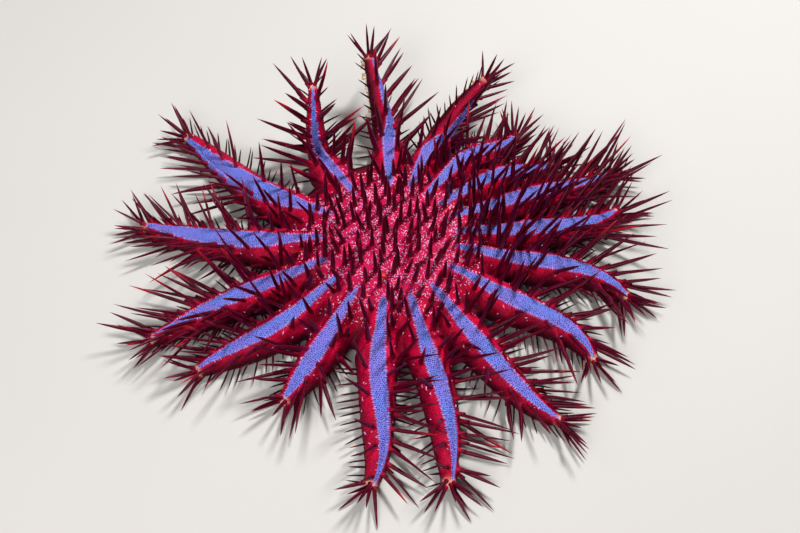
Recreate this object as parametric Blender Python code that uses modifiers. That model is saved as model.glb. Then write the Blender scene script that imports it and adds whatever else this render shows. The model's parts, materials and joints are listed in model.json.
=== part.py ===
"""Crown-of-thorns starfish, life size and lying on the floor: a disc, its mouth film and seventeen arms.

The arms and the disc carry their long spines, each fused into the node it grows from. Every arm follows a
path that starts square to the disc's rim, bends to one side as it runs out, and lifts off the floor where
the animal holds it up. Metres and degrees; the viewer looks at the animal from -Y.
"""

import math
import random
from typing import NamedTuple

import bmesh
import bpy
import numpy as np
from mathutils import Matrix, Vector

# Driving dimensions of the disc
DISC_RADIUS = 0.078
RIM_HEIGHT = 0.0215
CROWN_HEIGHT = 0.029
CROWN_FALL_POWER = 2.2
CORNER_HEIGHT_SHARE = 0.52
SHOULDER_HEIGHT_SHARE = 0.93
SHOULDER_WIDTH_SHARE = 0.55
FURROW_START_SHARE = 0.6
DISC_RING_SHARES = (0.80, 0.48, 0.20)
MOUTH_FRAME_SHARE = 0.34

# Driving dimensions of the mouth
MOUTH_RADIUS = 0.0125
MOUTH_ROOF_RADIUS = 0.0112
MOUTH_DEPTH = 0.0065
MOUTH_LIP_HEIGHT = 0.0008
FILM_RADIUS = 0.0103
FILM_SIDES = 20

# Driving dimensions of an arm
ARM_HALF_WIDTH = 0.0122
WIDEST_ROOT_HALF_WIDTH = 0.0150
ROOT_FLARE_SHARE = 0.26
WIDTH_TAPER = 0.74
WIDTH_TAPER_POWER = 2.3
HEIGHT_TAPER = 0.66
HEIGHT_TAPER_POWER = 1.7
TIP_ROUNDING_SHARE = 0.07
TIP_ROUNDING = 0.45
GROOVE_HALF_WIDTH_SHARE = 0.26
GROOVE_DEPTH_SHARE = 0.2
JOINT_GAP = 0.0003

# Where along an arm its cross-sections stand, as a share of its length
STATIONS = (0.0, 0.15, 0.31, 0.47, 0.62, 0.76, 0.88, 0.96, 1.0)

# The right half of a cross-section from crest to sole: across in half widths, above in heights
SECTION = (
    (0.0, 1.0),
    (0.50, 0.93),
    (0.88, 0.66),
    (1.0, 0.34),
    (0.74, 0.0),
    (GROOVE_HALF_WIDTH_SHARE, 0.0),
    (0.0, GROOVE_DEPTH_SHARE),
)

# Spines
SPINE_SIDES = 5
SPINE_ROOT_DEPTH = 0.0028
SPINE_CLEARANCE = 0.0006
FLOOR_CLEARANCE = 0.0006
SEED = 17


class Arm(NamedTuple):
    """How an arm leaves the disc and lies: its heading turns by bend evenly and by hook near the tip.

    Girth is its thickness past the root, and bare_hand the side whose flank carries no spines, if either.
    """

    azimuth: float
    bend: float
    hook: float
    length: float
    rise: float = 0.0
    tip_pitch: float = 9.0
    roll: float = 0.0
    girth: float = 1.0
    bare_hand: int = 0


class SpineRow(NamedTuple):
    """Spines rooted at one angle from the arm's crest, on both sides, that point outward by another."""

    angle: float
    outward: float
    spacing: float
    start: float
    end: float
    length: float
    radius: float
    on_flank: bool = False


class Spine(NamedTuple):
    """A spine, and the way that its arm runs where it stands."""

    root: Vector
    direction: Vector
    length: float
    radius: float
    along: Vector


# The arms, anticlockwise from the one that points to the viewer's right
ARMS = (
    Arm(azimuth=-7.5, bend=14, hook=-76, length=0.0896, tip_pitch=7),
    Arm(azimuth=8.0, bend=5, hook=30, length=0.0888, tip_pitch=12),
    Arm(azimuth=24.0, bend=-12, hook=16, length=0.0960, tip_pitch=15),
    Arm(azimuth=39.5, bend=-62, hook=72, length=0.0660, tip_pitch=22),
    Arm(azimuth=55.5, bend=-88, hook=122, length=0.0640, tip_pitch=24),
    Arm(azimuth=72.0, bend=-64, hook=50, length=0.0865, rise=40, tip_pitch=24, roll=62, girth=0.76, bare_hand=-1),
    Arm(azimuth=91.0, bend=41, hook=-36, length=0.0900, rise=50, tip_pitch=32, roll=46, girth=0.76, bare_hand=-1),
    Arm(azimuth=123.0, bend=-68, hook=47, length=0.0810, rise=76, tip_pitch=38, girth=0.72),
    Arm(azimuth=153.5, bend=-35, hook=24, length=0.1080, tip_pitch=14, bare_hand=1),
    Arm(azimuth=178.0, bend=-26, hook=9, length=0.0984, tip_pitch=8),
    Arm(azimuth=201.0, bend=8, hook=0, length=0.0934),
    Arm(azimuth=221.0, bend=-41, hook=39, length=0.0767),
    Arm(azimuth=240.5, bend=-13, hook=7, length=0.0510),
    Arm(azimuth=265.0, bend=40, hook=-68, length=0.0898, bare_hand=1),
    Arm(azimuth=287.0, bend=-3, hook=-22, length=0.0929, bare_hand=1),
    Arm(azimuth=307.7, bend=2, hook=25, length=0.0873),
    Arm(azimuth=332.0, bend=22, hook=-86, length=0.0806),
)

# Along the stripe's borders, along the flanks, and the short comb over the sole
ARM_ROWS = (
    SpineRow(angle=33, outward=30, spacing=0.0150, start=0.08, end=0.86, length=0.032, radius=0.00175),
    SpineRow(
        angle=72, outward=64, spacing=0.0145, start=0.14, end=0.90, length=0.034, radius=0.00170, on_flank=True
    ),
    SpineRow(angle=105, outward=94, spacing=0.0160, start=0.22, end=0.86, length=0.016, radius=0.00125),
)
ROOT_LEAN = 15.0
TIP_LEAN = 60.0
LEAN_POWER = 1.6
ANGLE_JITTER = 5.0
LEAN_JITTER = 8.0
LENGTH_JITTER = 0.12

# Spines round the end of an arm: the angle from the crest, and the lean towards the tip
TIP_FAN = ((-100, 62), (-55, 56), (-18, 64), (18, 56), (55, 64), (100, 56))
TIP_FAN_PLACE = 0.955
TIP_FAN_LENGTH = 0.027
TIP_FAN_RADIUS = 0.0013

# Rings of spines on the disc, each a count and a radius, and the pairs that carry on the arms' rows inwards
DISC_RINGS = ((5, 0.011), (9, 0.024), (13, 0.037), (17, 0.050))
RIM_PAIR_RADIUS = 0.066
RIM_PAIR_HALF_ANGLE = 5.2
PLACE_JITTER = 0.0025
DISC_SPINE_LENGTH = 0.024
DISC_SPINE_RADIUS = 0.00165
DISC_CENTRE_LEAN = 4.0
DISC_RIM_LEAN = 26.0
DISC_SPINE_SWING = 35.0

# How a spine may be moved to clear its neighbours, least change first
SIZES = (1.0, 0.82, 0.66)
LIFTS = (0.0, 0.2, 0.45, 0.8, 1.3, 2.2)
SWINGS = (0.0, 0.3, -0.3)

SKIN_COLOUR = (0.45, 0.01, 0.05)
SPINE_COLOUR = (0.09, 0.005, 0.012)
FILM_COLOUR = (0.62, 0.35, 0.28)


def smooth(x):
    x = min(max(x, 0.0), 1.0)
    return x * x * (3.0 - 2.0 * x)


def blend(a, b, share):
    return a + (b - a) * share


def level(degrees):
    """The level direction at an azimuth."""
    return Vector((math.cos(math.radians(degrees)), math.sin(math.radians(degrees)), 0.0))


def half_angles(index):
    """Half the angle from this arm to the next one clockwise, and to the next one anticlockwise."""
    here = ARMS[index].azimuth
    clockwise = (here - ARMS[index - 1].azimuth) % 360.0
    anticlockwise = (ARMS[(index + 1) % len(ARMS)].azimuth - here) % 360.0
    return clockwise / 2.0, anticlockwise / 2.0


def root_half_width(index):
    """An arm is as wide at its root as its neighbours leave room for."""
    room = DISC_RADIUS * math.tan(math.radians(min(half_angles(index)))) - JOINT_GAP
    return min(room, WIDEST_ROOT_HALF_WIDTH)


class ArmShape:
    """The path of an arm and the size of its cross-section, from s = 0 at the disc to s = 1 at the tip."""

    STEPS = 80

    def __init__(self, index):
        self.arm = ARMS[index]
        self.root_half_width = root_half_width(index)
        step = self.arm.length / self.STEPS
        point = level(self.arm.azimuth) * (DISC_RADIUS + JOINT_GAP)
        self.sole_points = [point]
        for k in range(self.STEPS):
            point = point + self.direction((k + 0.5) / self.STEPS) * step
            self.sole_points.append(point)

    def heading(self, s):
        return self.arm.azimuth + self.arm.bend * s + self.arm.hook * s**3

    def pitch(self, s):
        """A lifted arm climbs to its rise by the middle, and any arm ends at its tip's pitch."""
        if self.arm.rise:
            climb = self.arm.rise * smooth((s - 0.10) / 0.45)
            return climb + (self.arm.tip_pitch - self.arm.rise) * smooth((s - 0.55) / 0.45)
        return self.arm.tip_pitch * smooth((s - 0.60) / 0.40)

    def direction(self, s):
        pitch = math.radians(self.pitch(s))
        return level(self.heading(s)) * math.cos(pitch) + Vector((0, 0, math.sin(pitch)))

    def half_width(self, s):
        flare = 1.0 - smooth(s / ROOT_FLARE_SHARE)
        width = blend(ARM_HALF_WIDTH * self.arm.girth, self.root_half_width, flare)
        return width * (1.0 - WIDTH_TAPER * s**WIDTH_TAPER_POWER) * self.rounding(s)

    def height(self, s):
        root_height = RIM_HEIGHT * blend(1.0, self.arm.girth, smooth(s / ROOT_FLARE_SHARE))
        return root_height * (1.0 - HEIGHT_TAPER * s**HEIGHT_TAPER_POWER) * self.rounding(s)

    @staticmethod
    def rounding(s):
        """The blunt end of the arm."""
        return 1.0 - TIP_ROUNDING * smooth((s - 1.0 + TIP_ROUNDING_SHARE) / TIP_ROUNDING_SHARE)

    def frame(self, s):
        """The middle of the cross-section at s, with its sideways, upward and forward directions."""
        place = s * self.STEPS
        k = min(int(place), self.STEPS - 1)
        sole_point = self.sole_points[k].lerp(self.sole_points[k + 1], place - k)
        forward = self.direction(s)
        level_side = level(self.heading(s) - 90.0)
        level_up = level_side.cross(forward)
        roll = math.radians(self.arm.roll * smooth((s - 0.05) / 0.5))
        side = level_side * math.cos(roll) - level_up * math.sin(roll)
        up = level_up * math.cos(roll) + level_side * math.sin(roll)
        middle = sole_point + level_up * self.reach_down(s, roll)
        return middle, side, up, forward

    def reach_down(self, s, roll):
        """How far the cross-section reaches below its middle once it is rolled."""
        wide = self.half_width(s) * math.sin(abs(roll))
        high = self.height(s) * math.cos(roll)
        return max(across * wide + (0.5 - above) * high for across, above in SECTION)

    def section(self, s):
        """The points of the cross-section at s, right round it from the crest."""
        middle, side, up, _ = self.frame(s)
        left = [(-across, above) for across, above in SECTION[-2:0:-1]]
        return [
            middle + side * (across * self.half_width(s)) + up * ((above - 0.5) * self.height(s))
            for across, above in list(SECTION) + left
        ]


def finished(name, mesh):
    """The bmesh as an object, its faces turned outwards and split into triangles."""
    bmesh.ops.recalc_face_normals(mesh, faces=mesh.faces)
    bmesh.ops.triangulate(mesh, faces=mesh.faces)
    data = bpy.data.meshes.new(name)
    mesh.to_mesh(data)
    mesh.free()
    return bpy.data.objects.new(name, data)


def loft(name, rings):
    """A closed mesh through rings of points that run the same way round, with a face over each end."""
    mesh = bmesh.new()
    rows = [[mesh.verts.new(point) for point in ring] for ring in rings]
    count = len(rows[0])
    for lower, upper in zip(rows, rows[1:]):
        for k in range(count):
            after = (k + 1) % count
            mesh.faces.new((lower[k], lower[after], upper[after], upper[k]))
    mesh.faces.new(rows[0])
    mesh.faces.new(rows[-1])
    return finished(name, mesh)


def arm_body(index, shape):
    return loft(f"arm_{index + 1:02d}", [shape.section(s) for s in STATIONS])


def disc_height(radius):
    """The top of the disc: nearly flat over most of it, and falling to the rim."""
    return blend(CROWN_HEIGHT, RIM_HEIGHT, (radius / DISC_RADIUS) ** CROWN_FALL_POWER)


def disc_ring(share, heights, reach_share):
    """A ring of the disc, share of the way out: for each arm its corner, left, crest and right point."""
    corner_z, side_z, crest_z = heights
    points = []
    for index, arm in enumerate(ARMS):
        clockwise, _ = half_angles(index)
        corner = level(arm.azimuth - clockwise) * DISC_RADIUS / math.cos(math.radians(clockwise))
        crest = level(arm.azimuth) * DISC_RADIUS
        reach = level(arm.azimuth + 90.0) * reach_share * root_half_width(index)
        points += [
            corner * share + Vector((0, 0, corner_z)),
            (crest - reach) * share + Vector((0, 0, side_z)),
            crest * share + Vector((0, 0, crest_z)),
            (crest + reach) * share + Vector((0, 0, side_z)),
        ]
    return points


def top_ring(share):
    """Furrows run in between the arms from the rim and fade towards the middle."""
    height = disc_height(DISC_RADIUS * share)
    fade = smooth((share - FURROW_START_SHARE) / (1.0 - FURROW_START_SHARE))
    corner_z = height * blend(1.0, CORNER_HEIGHT_SHARE, fade)
    side_z = height * blend(1.0, SHOULDER_HEIGHT_SHARE, fade)
    return disc_ring(share, (corner_z, side_z, height), SHOULDER_WIDTH_SHARE)


def sole_ring(share):
    """The sole is flat, with a groove under each arm."""
    return disc_ring(share, (0.0, 0.0, GROOVE_DEPTH_SHARE * RIM_HEIGHT), GROOVE_HALF_WIDTH_SHARE)


def round_ring(radius, height):
    """A circle whose points stand at the same angles as those of the disc's other rings."""
    return [
        Vector((point.x, point.y, 0.0)).normalized() * radius + Vector((0, 0, height))
        for point in top_ring(1.0)
    ]


def disc_body():
    """The disc, from the roof of its mouth hollow out along the sole, up the rim and over the top."""
    rings = [
        round_ring(MOUTH_ROOF_RADIUS, MOUTH_DEPTH),
        round_ring(MOUTH_RADIUS, MOUTH_LIP_HEIGHT),
        sole_ring(MOUTH_FRAME_SHARE),
        sole_ring(1.0),
        top_ring(1.0),
    ]
    rings += [top_ring(share) for share in DISC_RING_SHARES]
    return loft("central_disc", rings)


def mouth_film():
    """The soft film round the mouth: a dished round with a dimple, turned about the disc's axis."""
    top = MOUTH_DEPTH - JOINT_GAP
    profile = (
        (0.0, top),
        (FILM_RADIUS, top),
        (FILM_RADIUS + 0.0001, top - 0.0018),
        (FILM_RADIUS * 0.72, top - 0.0036),
        (FILM_RADIUS * 0.34, top - 0.0034),
        (FILM_RADIUS * 0.16, top - 0.0015),
        (0.0, top - 0.0011),
    )
    edges = [(k, k + 1) for k in range(len(profile) - 1)]
    data = bpy.data.meshes.new("mouth_film")
    data.from_pydata([(x, 0.0, z) for x, z in profile], edges, [])
    film = bpy.data.objects.new("mouth_film", data)
    turn = film.modifiers.new("turn", "SCREW")
    turn.steps = FILM_SIDES
    turn.render_steps = FILM_SIDES
    turn.use_merge_vertices = True
    turn.merge_threshold = 1e-5
    return film


def varied(draw):
    """A factor that makes like spines a little longer or shorter."""
    return draw.uniform(1.0 - LENGTH_JITTER, 1.0 + LENGTH_JITTER)


def lean_at(s):
    """How far the spines at s lean towards the arm's tip."""
    return blend(ROOT_LEAN, TIP_LEAN, 1.0 - (1.0 - s) ** LEAN_POWER)


def length_at(s):
    """Spines are longest a little short of the middle of the arm."""
    return 0.84 + 0.24 * math.sin(math.pi * min(s + 0.12, 1.0))


def arm_spine(shape, s, angle, outward, lean, length, radius):
    """A spine rooted at an angle from the crest, which points outward from the crest and leans forward."""
    middle, side, up, forward = shape.frame(s)
    turn = math.radians(angle)
    root = middle + side * (math.sin(turn) * shape.half_width(s)) + up * (math.cos(turn) * shape.height(s) / 2)
    tilt = math.radians(outward)
    ahead = math.radians(lean)
    across = side * math.sin(tilt) + up * math.cos(tilt)
    direction = (across * math.cos(ahead) + forward * math.sin(ahead)).normalized()
    return Spine(root, direction, length, radius, forward)


def arm_spines(shape, draw):
    """Every spine that an arm would carry if nothing stood in its way."""
    spines = []
    for row in ARM_ROWS:
        count = max(2, round((row.end - row.start) * shape.arm.length / row.spacing) + 1)
        for hand in (-1, 1):
            if row.on_flank and hand == shape.arm.bare_hand:
                continue
            stagger = 0.5 * (hand > 0)
            for k in range(count):
                s = row.start + (row.end - row.start) * (k + stagger) / (count - 0.5)
                angle = hand * (row.angle + draw.uniform(-ANGLE_JITTER, ANGLE_JITTER))
                outward = hand * (row.outward + draw.uniform(-LEAN_JITTER, LEAN_JITTER))
                lean = lean_at(s) + draw.uniform(-LEAN_JITTER, LEAN_JITTER)
                length = row.length * length_at(s) * varied(draw)
                radius = row.radius * blend(1.0, 0.78, s)
                spines.append(arm_spine(shape, s, angle, outward, lean, length, radius))
    for angle, lean in TIP_FAN:
        length = TIP_FAN_LENGTH * varied(draw)
        spines.append(arm_spine(shape, TIP_FAN_PLACE, angle, angle, lean, length, TIP_FAN_RADIUS))
    return spines


def disc_spine(azimuth, radius, draw):
    """A spine on the disc, upright in the middle and leaning outwards near the rim."""
    along = level(azimuth)
    root = along * radius + Vector((0, 0, disc_height(radius)))
    lean = blend(DISC_CENTRE_LEAN, DISC_RIM_LEAN, radius / DISC_RADIUS)
    lean = math.radians(lean + draw.uniform(-LEAN_JITTER, LEAN_JITTER))
    swing = azimuth + draw.uniform(-DISC_SPINE_SWING, DISC_SPINE_SWING)
    direction = level(swing) * math.sin(lean) + Vector((0, 0, math.cos(lean)))
    length = DISC_SPINE_LENGTH * varied(draw)
    return Spine(root, direction, length, DISC_SPINE_RADIUS, along)


def disc_spines(draw):
    spines = []
    for ring, (count, radius) in enumerate(DISC_RINGS):
        for k in range(count):
            azimuth = 360.0 * (k + 0.5 * (ring % 2)) / count + draw.uniform(-ANGLE_JITTER, ANGLE_JITTER)
            place = radius + draw.uniform(-PLACE_JITTER, PLACE_JITTER)
            spines.append(disc_spine(azimuth, place, draw))
    for arm in ARMS:
        for hand in (-1, 1):
            azimuth = arm.azimuth + hand * RIM_PAIR_HALF_ANGLE
            place = RIM_PAIR_RADIUS + draw.uniform(-PLACE_JITTER, PLACE_JITTER)
            spines.append(disc_spine(azimuth, place, draw))
    return spines


def segment_gap(a, b, c, d):
    """The least distance between the stretches a to b and c to d."""
    u, v, w = b - a, d - c, a - c
    uu, uv, vv = u.dot(u), u.dot(v), v.dot(v)
    uw, vw = u.dot(w), v.dot(w)
    spread = uu * vv - uv * uv
    s = min(max((uv * vw - vv * uw) / spread, 0.0), 1.0) if spread > 1e-18 else 0.0
    t = min(max((uv * s + vw) / vv, 0.0), 1.0)
    s = min(max((uv * t - uw) / uu, 0.0), 1.0)
    return (w + u * s - v * t).length


def point_gap(point, a, b):
    """The least distance from a point to the stretch a to b."""
    along = b - a
    t = min(max((point - a).dot(along) / along.length_squared, 0.0), 1.0)
    return (a + along * t - point).length


class Neighbours:
    """What a spine has to stay clear of: the bodies of the other arms, and the spines placed before it."""

    BALLS = 16

    def __init__(self, shapes):
        self.balls = []
        self.spines = []
        for owner, shape in enumerate(shapes):
            for k in range(self.BALLS + 1):
                s = k / self.BALLS
                reach = (shape.half_width(s) + shape.height(s) / 2.0) / 2.0
                self.balls.append((owner, shape.frame(s)[0], reach))

    def clear(self, owner, spine):
        tip = spine.root + spine.direction * spine.length
        if tip.z < FLOOR_CLEARANCE or spine.root.z < 1.3 * spine.radius + FLOOR_CLEARANCE:
            return False
        for other, middle, reach in self.balls:
            if other != owner and point_gap(middle, spine.root, tip) < reach + spine.radius:
                return False
        for other, start, end, radius in self.spines:
            room = radius + spine.radius + SPINE_CLEARANCE
            if other != owner and segment_gap(spine.root, tip, start, end) < room:
                return False
        return True

    def settle(self, owner, spine):
        """The spine raised, swung along its arm or shortened until it is clear, or None where it never is."""
        for size in SIZES:
            for lift in LIFTS:
                for swing in SWINGS:
                    direction = spine.direction + Vector((0, 0, lift)) + spine.along * swing
                    moved = spine._replace(direction=direction.normalized(), length=spine.length * size)
                    if self.clear(owner, moved):
                        tip = moved.root + moved.direction * moved.length
                        self.spines.append((owner, moved.root, tip, moved.radius))
                        return moved
        return None


def spine_cone(spine, materials):
    """A spine as a pointed cone whose root is sunk into the body that it grows from."""
    mesh = bmesh.new()
    depth = spine.length + SPINE_ROOT_DEPTH
    bmesh.ops.create_cone(
        mesh,
        cap_ends=True,
        cap_tris=False,
        segments=SPINE_SIDES,
        radius1=spine.radius * depth / spine.length,
        radius2=0.0,
        depth=depth,
        matrix=Matrix.Translation((0, 0, depth / 2 - SPINE_ROOT_DEPTH)),
    )
    turn = Vector((0, 0, 1)).rotation_difference(spine.direction).to_matrix().to_4x4()
    mesh.transform(Matrix.Translation(spine.root) @ turn)
    cone = finished("spine", mesh)
    for slot in materials:
        cone.data.materials.append(slot)
    for face in cone.data.polygons:
        face.material_index = 1
    return cone


def keep_largest_surface(mesh):
    """Deletes all but the biggest connected surface of a bmesh."""
    left = set(mesh.verts)
    groups = []
    while left:
        stack = [left.pop()]
        group = set(stack)
        while stack:
            for edge in stack.pop().link_edges:
                fresh = left.intersection(edge.verts)
                left -= fresh
                group |= fresh
                stack.extend(fresh)
        groups.append(group)
    groups.sort(key=len)
    for group in groups[:-1]:
        bmesh.ops.delete(mesh, geom=list(group), context="VERTS")


def fuse_spines(body, spines, materials):
    """Joins the spines to the body by one union on a collection, and applies it."""
    for slot in materials:
        body.data.materials.append(slot)
    cones = bpy.data.collections.new("spines_of_" + body.name)
    bpy.context.scene.collection.children.link(cones)
    for spine in spines:
        cones.objects.link(spine_cone(spine, materials))
    union = body.modifiers.new("spines", "BOOLEAN")
    union.operation = "UNION"
    union.operand_type = "COLLECTION"
    union.collection = cones
    union.solver = "EXACT"
    bpy.context.view_layer.update()
    joined = bpy.data.meshes.new_from_object(body.evaluated_get(bpy.context.evaluated_depsgraph_get()))
    body.modifiers.clear()
    for cone in list(cones.objects):
        bpy.data.objects.remove(cone)
    bpy.data.collections.remove(cones)
    mesh = bmesh.new()
    mesh.from_mesh(joined)
    bmesh.ops.remove_doubles(mesh, verts=mesh.verts, dist=1e-6)
    keep_largest_surface(mesh)
    bmesh.ops.triangulate(mesh, faces=mesh.faces)
    mesh.to_mesh(body.data)
    mesh.free()
    body.data.shade_smooth()
    body.data.set_sharp_from_angle(angle=math.radians(50))


def material(name, colour, roughness):
    made = bpy.data.materials.new(name)
    made.use_nodes = True
    shader = made.node_tree.nodes["Principled BSDF"]
    shader.inputs["Base Color"].default_value = (*colour, 1.0)
    shader.inputs["Roughness"].default_value = roughness
    shader.inputs["Metallic"].default_value = 0.0
    return made


def stand_over_origin(nodes):
    """Parents the nodes to an empty that brings the middle of their box over the origin."""
    points = np.array([vertex.co[:] for node in nodes for vertex in node.data.vertices])
    middle = (points.min(axis=0) + points.max(axis=0)) / 2.0
    anchor = bpy.data.objects.new("starfish", None)
    bpy.context.scene.collection.objects.link(anchor)
    anchor.location = (-middle[0], -middle[1], 0.0)
    for node in nodes:
        node.parent = anchor


def main():
    for old in list(bpy.data.objects):
        bpy.data.objects.remove(old)
    starfish = bpy.data.collections.new("crown_of_thorns_starfish")
    bpy.context.scene.collection.children.link(starfish)
    skin = material("crimson_skin", SKIN_COLOUR, 0.55)
    horn = material("maroon_spines", SPINE_COLOUR, 0.4)

    draw = random.Random(SEED)
    shapes = [ArmShape(index) for index in range(len(ARMS))]
    neighbours = Neighbours(shapes)
    nodes = []
    for index, shape in enumerate(shapes):
        body = arm_body(index, shape)
        starfish.objects.link(body)
        settled = [neighbours.settle(index, spine) for spine in arm_spines(shape, draw)]
        fuse_spines(body, [spine for spine in settled if spine], (skin, horn))
        nodes.append(body)
    disc = disc_body()
    starfish.objects.link(disc)
    settled = [neighbours.settle(None, spine) for spine in disc_spines(draw)]
    fuse_spines(disc, [spine for spine in settled if spine], (skin, horn))
    nodes.append(disc)
    film = mouth_film()
    film.data.materials.append(material("mouth_film", FILM_COLOUR, 0.45))
    starfish.objects.link(film)
    nodes.append(film)
    stand_over_origin(nodes)


main()
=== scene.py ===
"""Crown-of-thorns starfish, life size: the skin, spines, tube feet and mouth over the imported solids.

The skin follows nearly the same arm paths and disc as the solids. Spines, granules and feet are each modelled
once and set on the skin in their hundreds, as joined meshes. Metres and degrees; the viewer looks from -Y.
"""

import json
import math
from typing import NamedTuple

import bpy
import numpy as np
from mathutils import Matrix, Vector, kdtree, noise
from mathutils.bvhtree import BVHTree

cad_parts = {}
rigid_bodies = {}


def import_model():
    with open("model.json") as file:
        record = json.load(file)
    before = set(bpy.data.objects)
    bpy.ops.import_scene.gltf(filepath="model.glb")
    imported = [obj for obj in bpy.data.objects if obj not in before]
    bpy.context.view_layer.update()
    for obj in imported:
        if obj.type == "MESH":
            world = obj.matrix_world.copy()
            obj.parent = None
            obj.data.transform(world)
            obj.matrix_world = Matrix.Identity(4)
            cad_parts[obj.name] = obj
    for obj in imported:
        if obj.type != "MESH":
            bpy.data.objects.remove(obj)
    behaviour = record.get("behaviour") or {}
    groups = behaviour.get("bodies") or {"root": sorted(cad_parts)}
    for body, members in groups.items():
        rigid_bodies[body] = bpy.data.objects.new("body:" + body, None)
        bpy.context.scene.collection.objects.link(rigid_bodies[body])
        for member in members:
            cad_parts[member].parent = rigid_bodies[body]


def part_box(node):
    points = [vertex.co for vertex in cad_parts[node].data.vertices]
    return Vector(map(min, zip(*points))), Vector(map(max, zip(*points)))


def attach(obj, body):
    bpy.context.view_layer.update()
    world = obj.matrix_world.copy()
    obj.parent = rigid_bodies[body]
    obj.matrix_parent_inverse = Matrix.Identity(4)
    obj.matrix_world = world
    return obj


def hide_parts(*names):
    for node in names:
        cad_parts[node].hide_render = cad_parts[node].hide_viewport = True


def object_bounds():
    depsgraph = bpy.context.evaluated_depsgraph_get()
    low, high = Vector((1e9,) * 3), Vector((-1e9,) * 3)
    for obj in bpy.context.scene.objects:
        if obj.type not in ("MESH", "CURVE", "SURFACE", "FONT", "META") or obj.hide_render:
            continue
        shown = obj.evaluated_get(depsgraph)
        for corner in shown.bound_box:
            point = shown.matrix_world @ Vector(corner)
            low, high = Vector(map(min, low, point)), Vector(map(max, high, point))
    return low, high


for startup in list(bpy.data.objects):
    bpy.data.objects.remove(startup)
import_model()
CAD_LOW, CAD_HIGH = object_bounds()
bpy.ops.object.select_all(action="DESELECT")

FILM_LOW, FILM_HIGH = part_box("mouth_film")
HUB = np.array(((FILM_LOW.x + FILM_HIGH.x) / 2, (FILM_LOW.y + FILM_HIGH.y) / 2, 0.0))
UP = np.array((0.0, 0.0, 1.0))
MM = 1000.0
HANDS = (-1, 1)
BAKE_MAP = "OFBake"

# Every random draw comes from this one generator, in the order of the script
draw = np.random.default_rng(17)

# The disc, as in the solids
DISC_RADIUS = 0.078
RIM_HEIGHT = 0.0215
CROWN_HEIGHT = 0.029
CROWN_FALL_POWER = 2.2
CORNER_HEIGHT_SHARE = 0.50
FURROWS = (0.6, 0.4)
MOUTH_RADIUS = 0.0125
MOUTH_ROOF_RADIUS = 0.0112
MOUTH_DEPTH = 0.0065
HOLLOW_RADIUS = 0.018
HOLLOW_HEIGHT = 0.012
CROWN_SINK = 0.0004
CROWN_RADII = (0.0, 0.012, 0.024, 0.036, 0.047, 0.054, 0.060, 0.066, 0.0715, 0.0745, 0.0755)
SOLE_PROFILE = (
    (0.0755, 0.0065),
    (0.0735, 0.0036),
    (0.068, 0.0030),
    (0.018, 0.0030),
    (0.0145, 0.0014),
    (MOUTH_RADIUS, 0.0010),
    (MOUTH_ROOF_RADIUS, 0.0030),
    (MOUTH_ROOF_RADIUS, MOUTH_DEPTH),
    (0.0, MOUTH_DEPTH),
)

# An arm, as in the solids
ARM_HALF_WIDTH = 0.0122
WIDEST_ROOT_HALF_WIDTH = 0.0150
WIDTH_TAPER = 0.74
WIDTH_TAPER_POWER = 2.3
HEIGHT_TAPER = 0.66
HEIGHT_TAPER_POWER = 1.7
TIP_ROUNDING_SHARE = 0.07
TIP_ROUNDING = 0.45
JOINT_GAP = 0.0003
SECTION = ((0.0, 1.0), (0.50, 0.93), (0.88, 0.66), (1.0, 0.34), (0.74, 0.0), (0.26, 0.0), (0.0, 0.2))
INNER_RADIUS = 0.0135
INNER_WIDTH_POWER = 0.8
INNER_HEIGHT_SHARE = 0.90

# Stretches of an arm, each its start and its run in shares of the length
ROOT_FLARE = (0.0, 0.26)
CLIMB = (0.10, 0.45)
LEVELLING = (0.55, 0.45)
TIP_LIFT = (0.60, 0.40)
ROLLING = (0.05, 0.5)
TURNING = (0.0, 0.9)
SPREADING = (0.0, 0.5)
TOOTH_LOSS = (0.50, 0.35)
TIP_PALING = (0.920, 0.05)

# The skin's mesh: an arm's ends are closed over these shares of its tube
SKIN_VOXEL = 0.00140
TIP_CAP = 0.025
INNER_CAP = 0.02
MOUND_HEIGHT = 0.0008
MOUND_RADIUS = 0.0026
UNEVEN_HEIGHT = 0.00035
UNEVEN_SIZE = 0.0055
STATION_PITCH = 0.0007

# The stripe along each arm's crest: it opens, widens past the rim, takes its arm's own width and closes
STRIPE_START = 0.041
STRIPE_WIDEST = 0.0059
OPENING_SHARE = 0.28
CLOSING_SHARE = 0.92
CLOSING_POWER = 2.1
TURN_NARROWING = 1.2
START_PULL = 0.0012
NO_STRIPE = -0.02
TOOTH_PITCH = 0.00145
TOOTH_PITCH_MM = MM * TOOTH_PITCH
TOOTH_DEPTH = 0.70
MOST_TEETH_LOST = 0.92
TEETH_END = 0.985
DOT_PITCH = 0.00146
DOT_ROW_SHARE = 0.87
DOT_JITTER = 0.22
DOTS_BESIDE = 6
DOTS_END = 0.965

# Bands round the hub, each its first radius and its run in metres
ARM_RISE_BAND = (0.028, 0.022)
OPENING_BAND = (STRIPE_START, 0.007)
WIDENING_BAND = (0.040, 0.068)
OWN_WIDTH_BAND = (0.050, 0.040)
START_BAND = (STRIPE_START, -0.006)
CROWN_BAND = (0.064, -0.036)
OUTER_BAND = (0.072, 0.060)
SPECK_BAND = (0.070, -0.030)
# Inside this radius of the hub the skin gets no painted flank shade
LIT_RADIUS = 0.045


class Arm(NamedTuple):
    """How an arm leaves the disc and lies: its heading turns by bend evenly and by hook near the tip.

    Girth is its thickness past the root. Bare_hand is the side whose flank carries no long spines, if either,
    up to the place bare_until along it. Twist is the angle by which the stripe and the spines turn round it
    towards its tip. Stripe is the stripe's width, sweep its spines' forward lean and spiny their length, each
    against the usual one.
    """

    azimuth: float
    bend: float
    hook: float
    length: float
    rise: float = 0.0
    tip_pitch: float = 9.0
    roll: float = 0.0
    girth: float = 1.0
    bare_hand: int = 0
    bare_until: float = 1.0
    stripe: float = 1.0
    sweep: float = 1.0
    twist: float = 0.0
    spiny: float = 1.0


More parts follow.
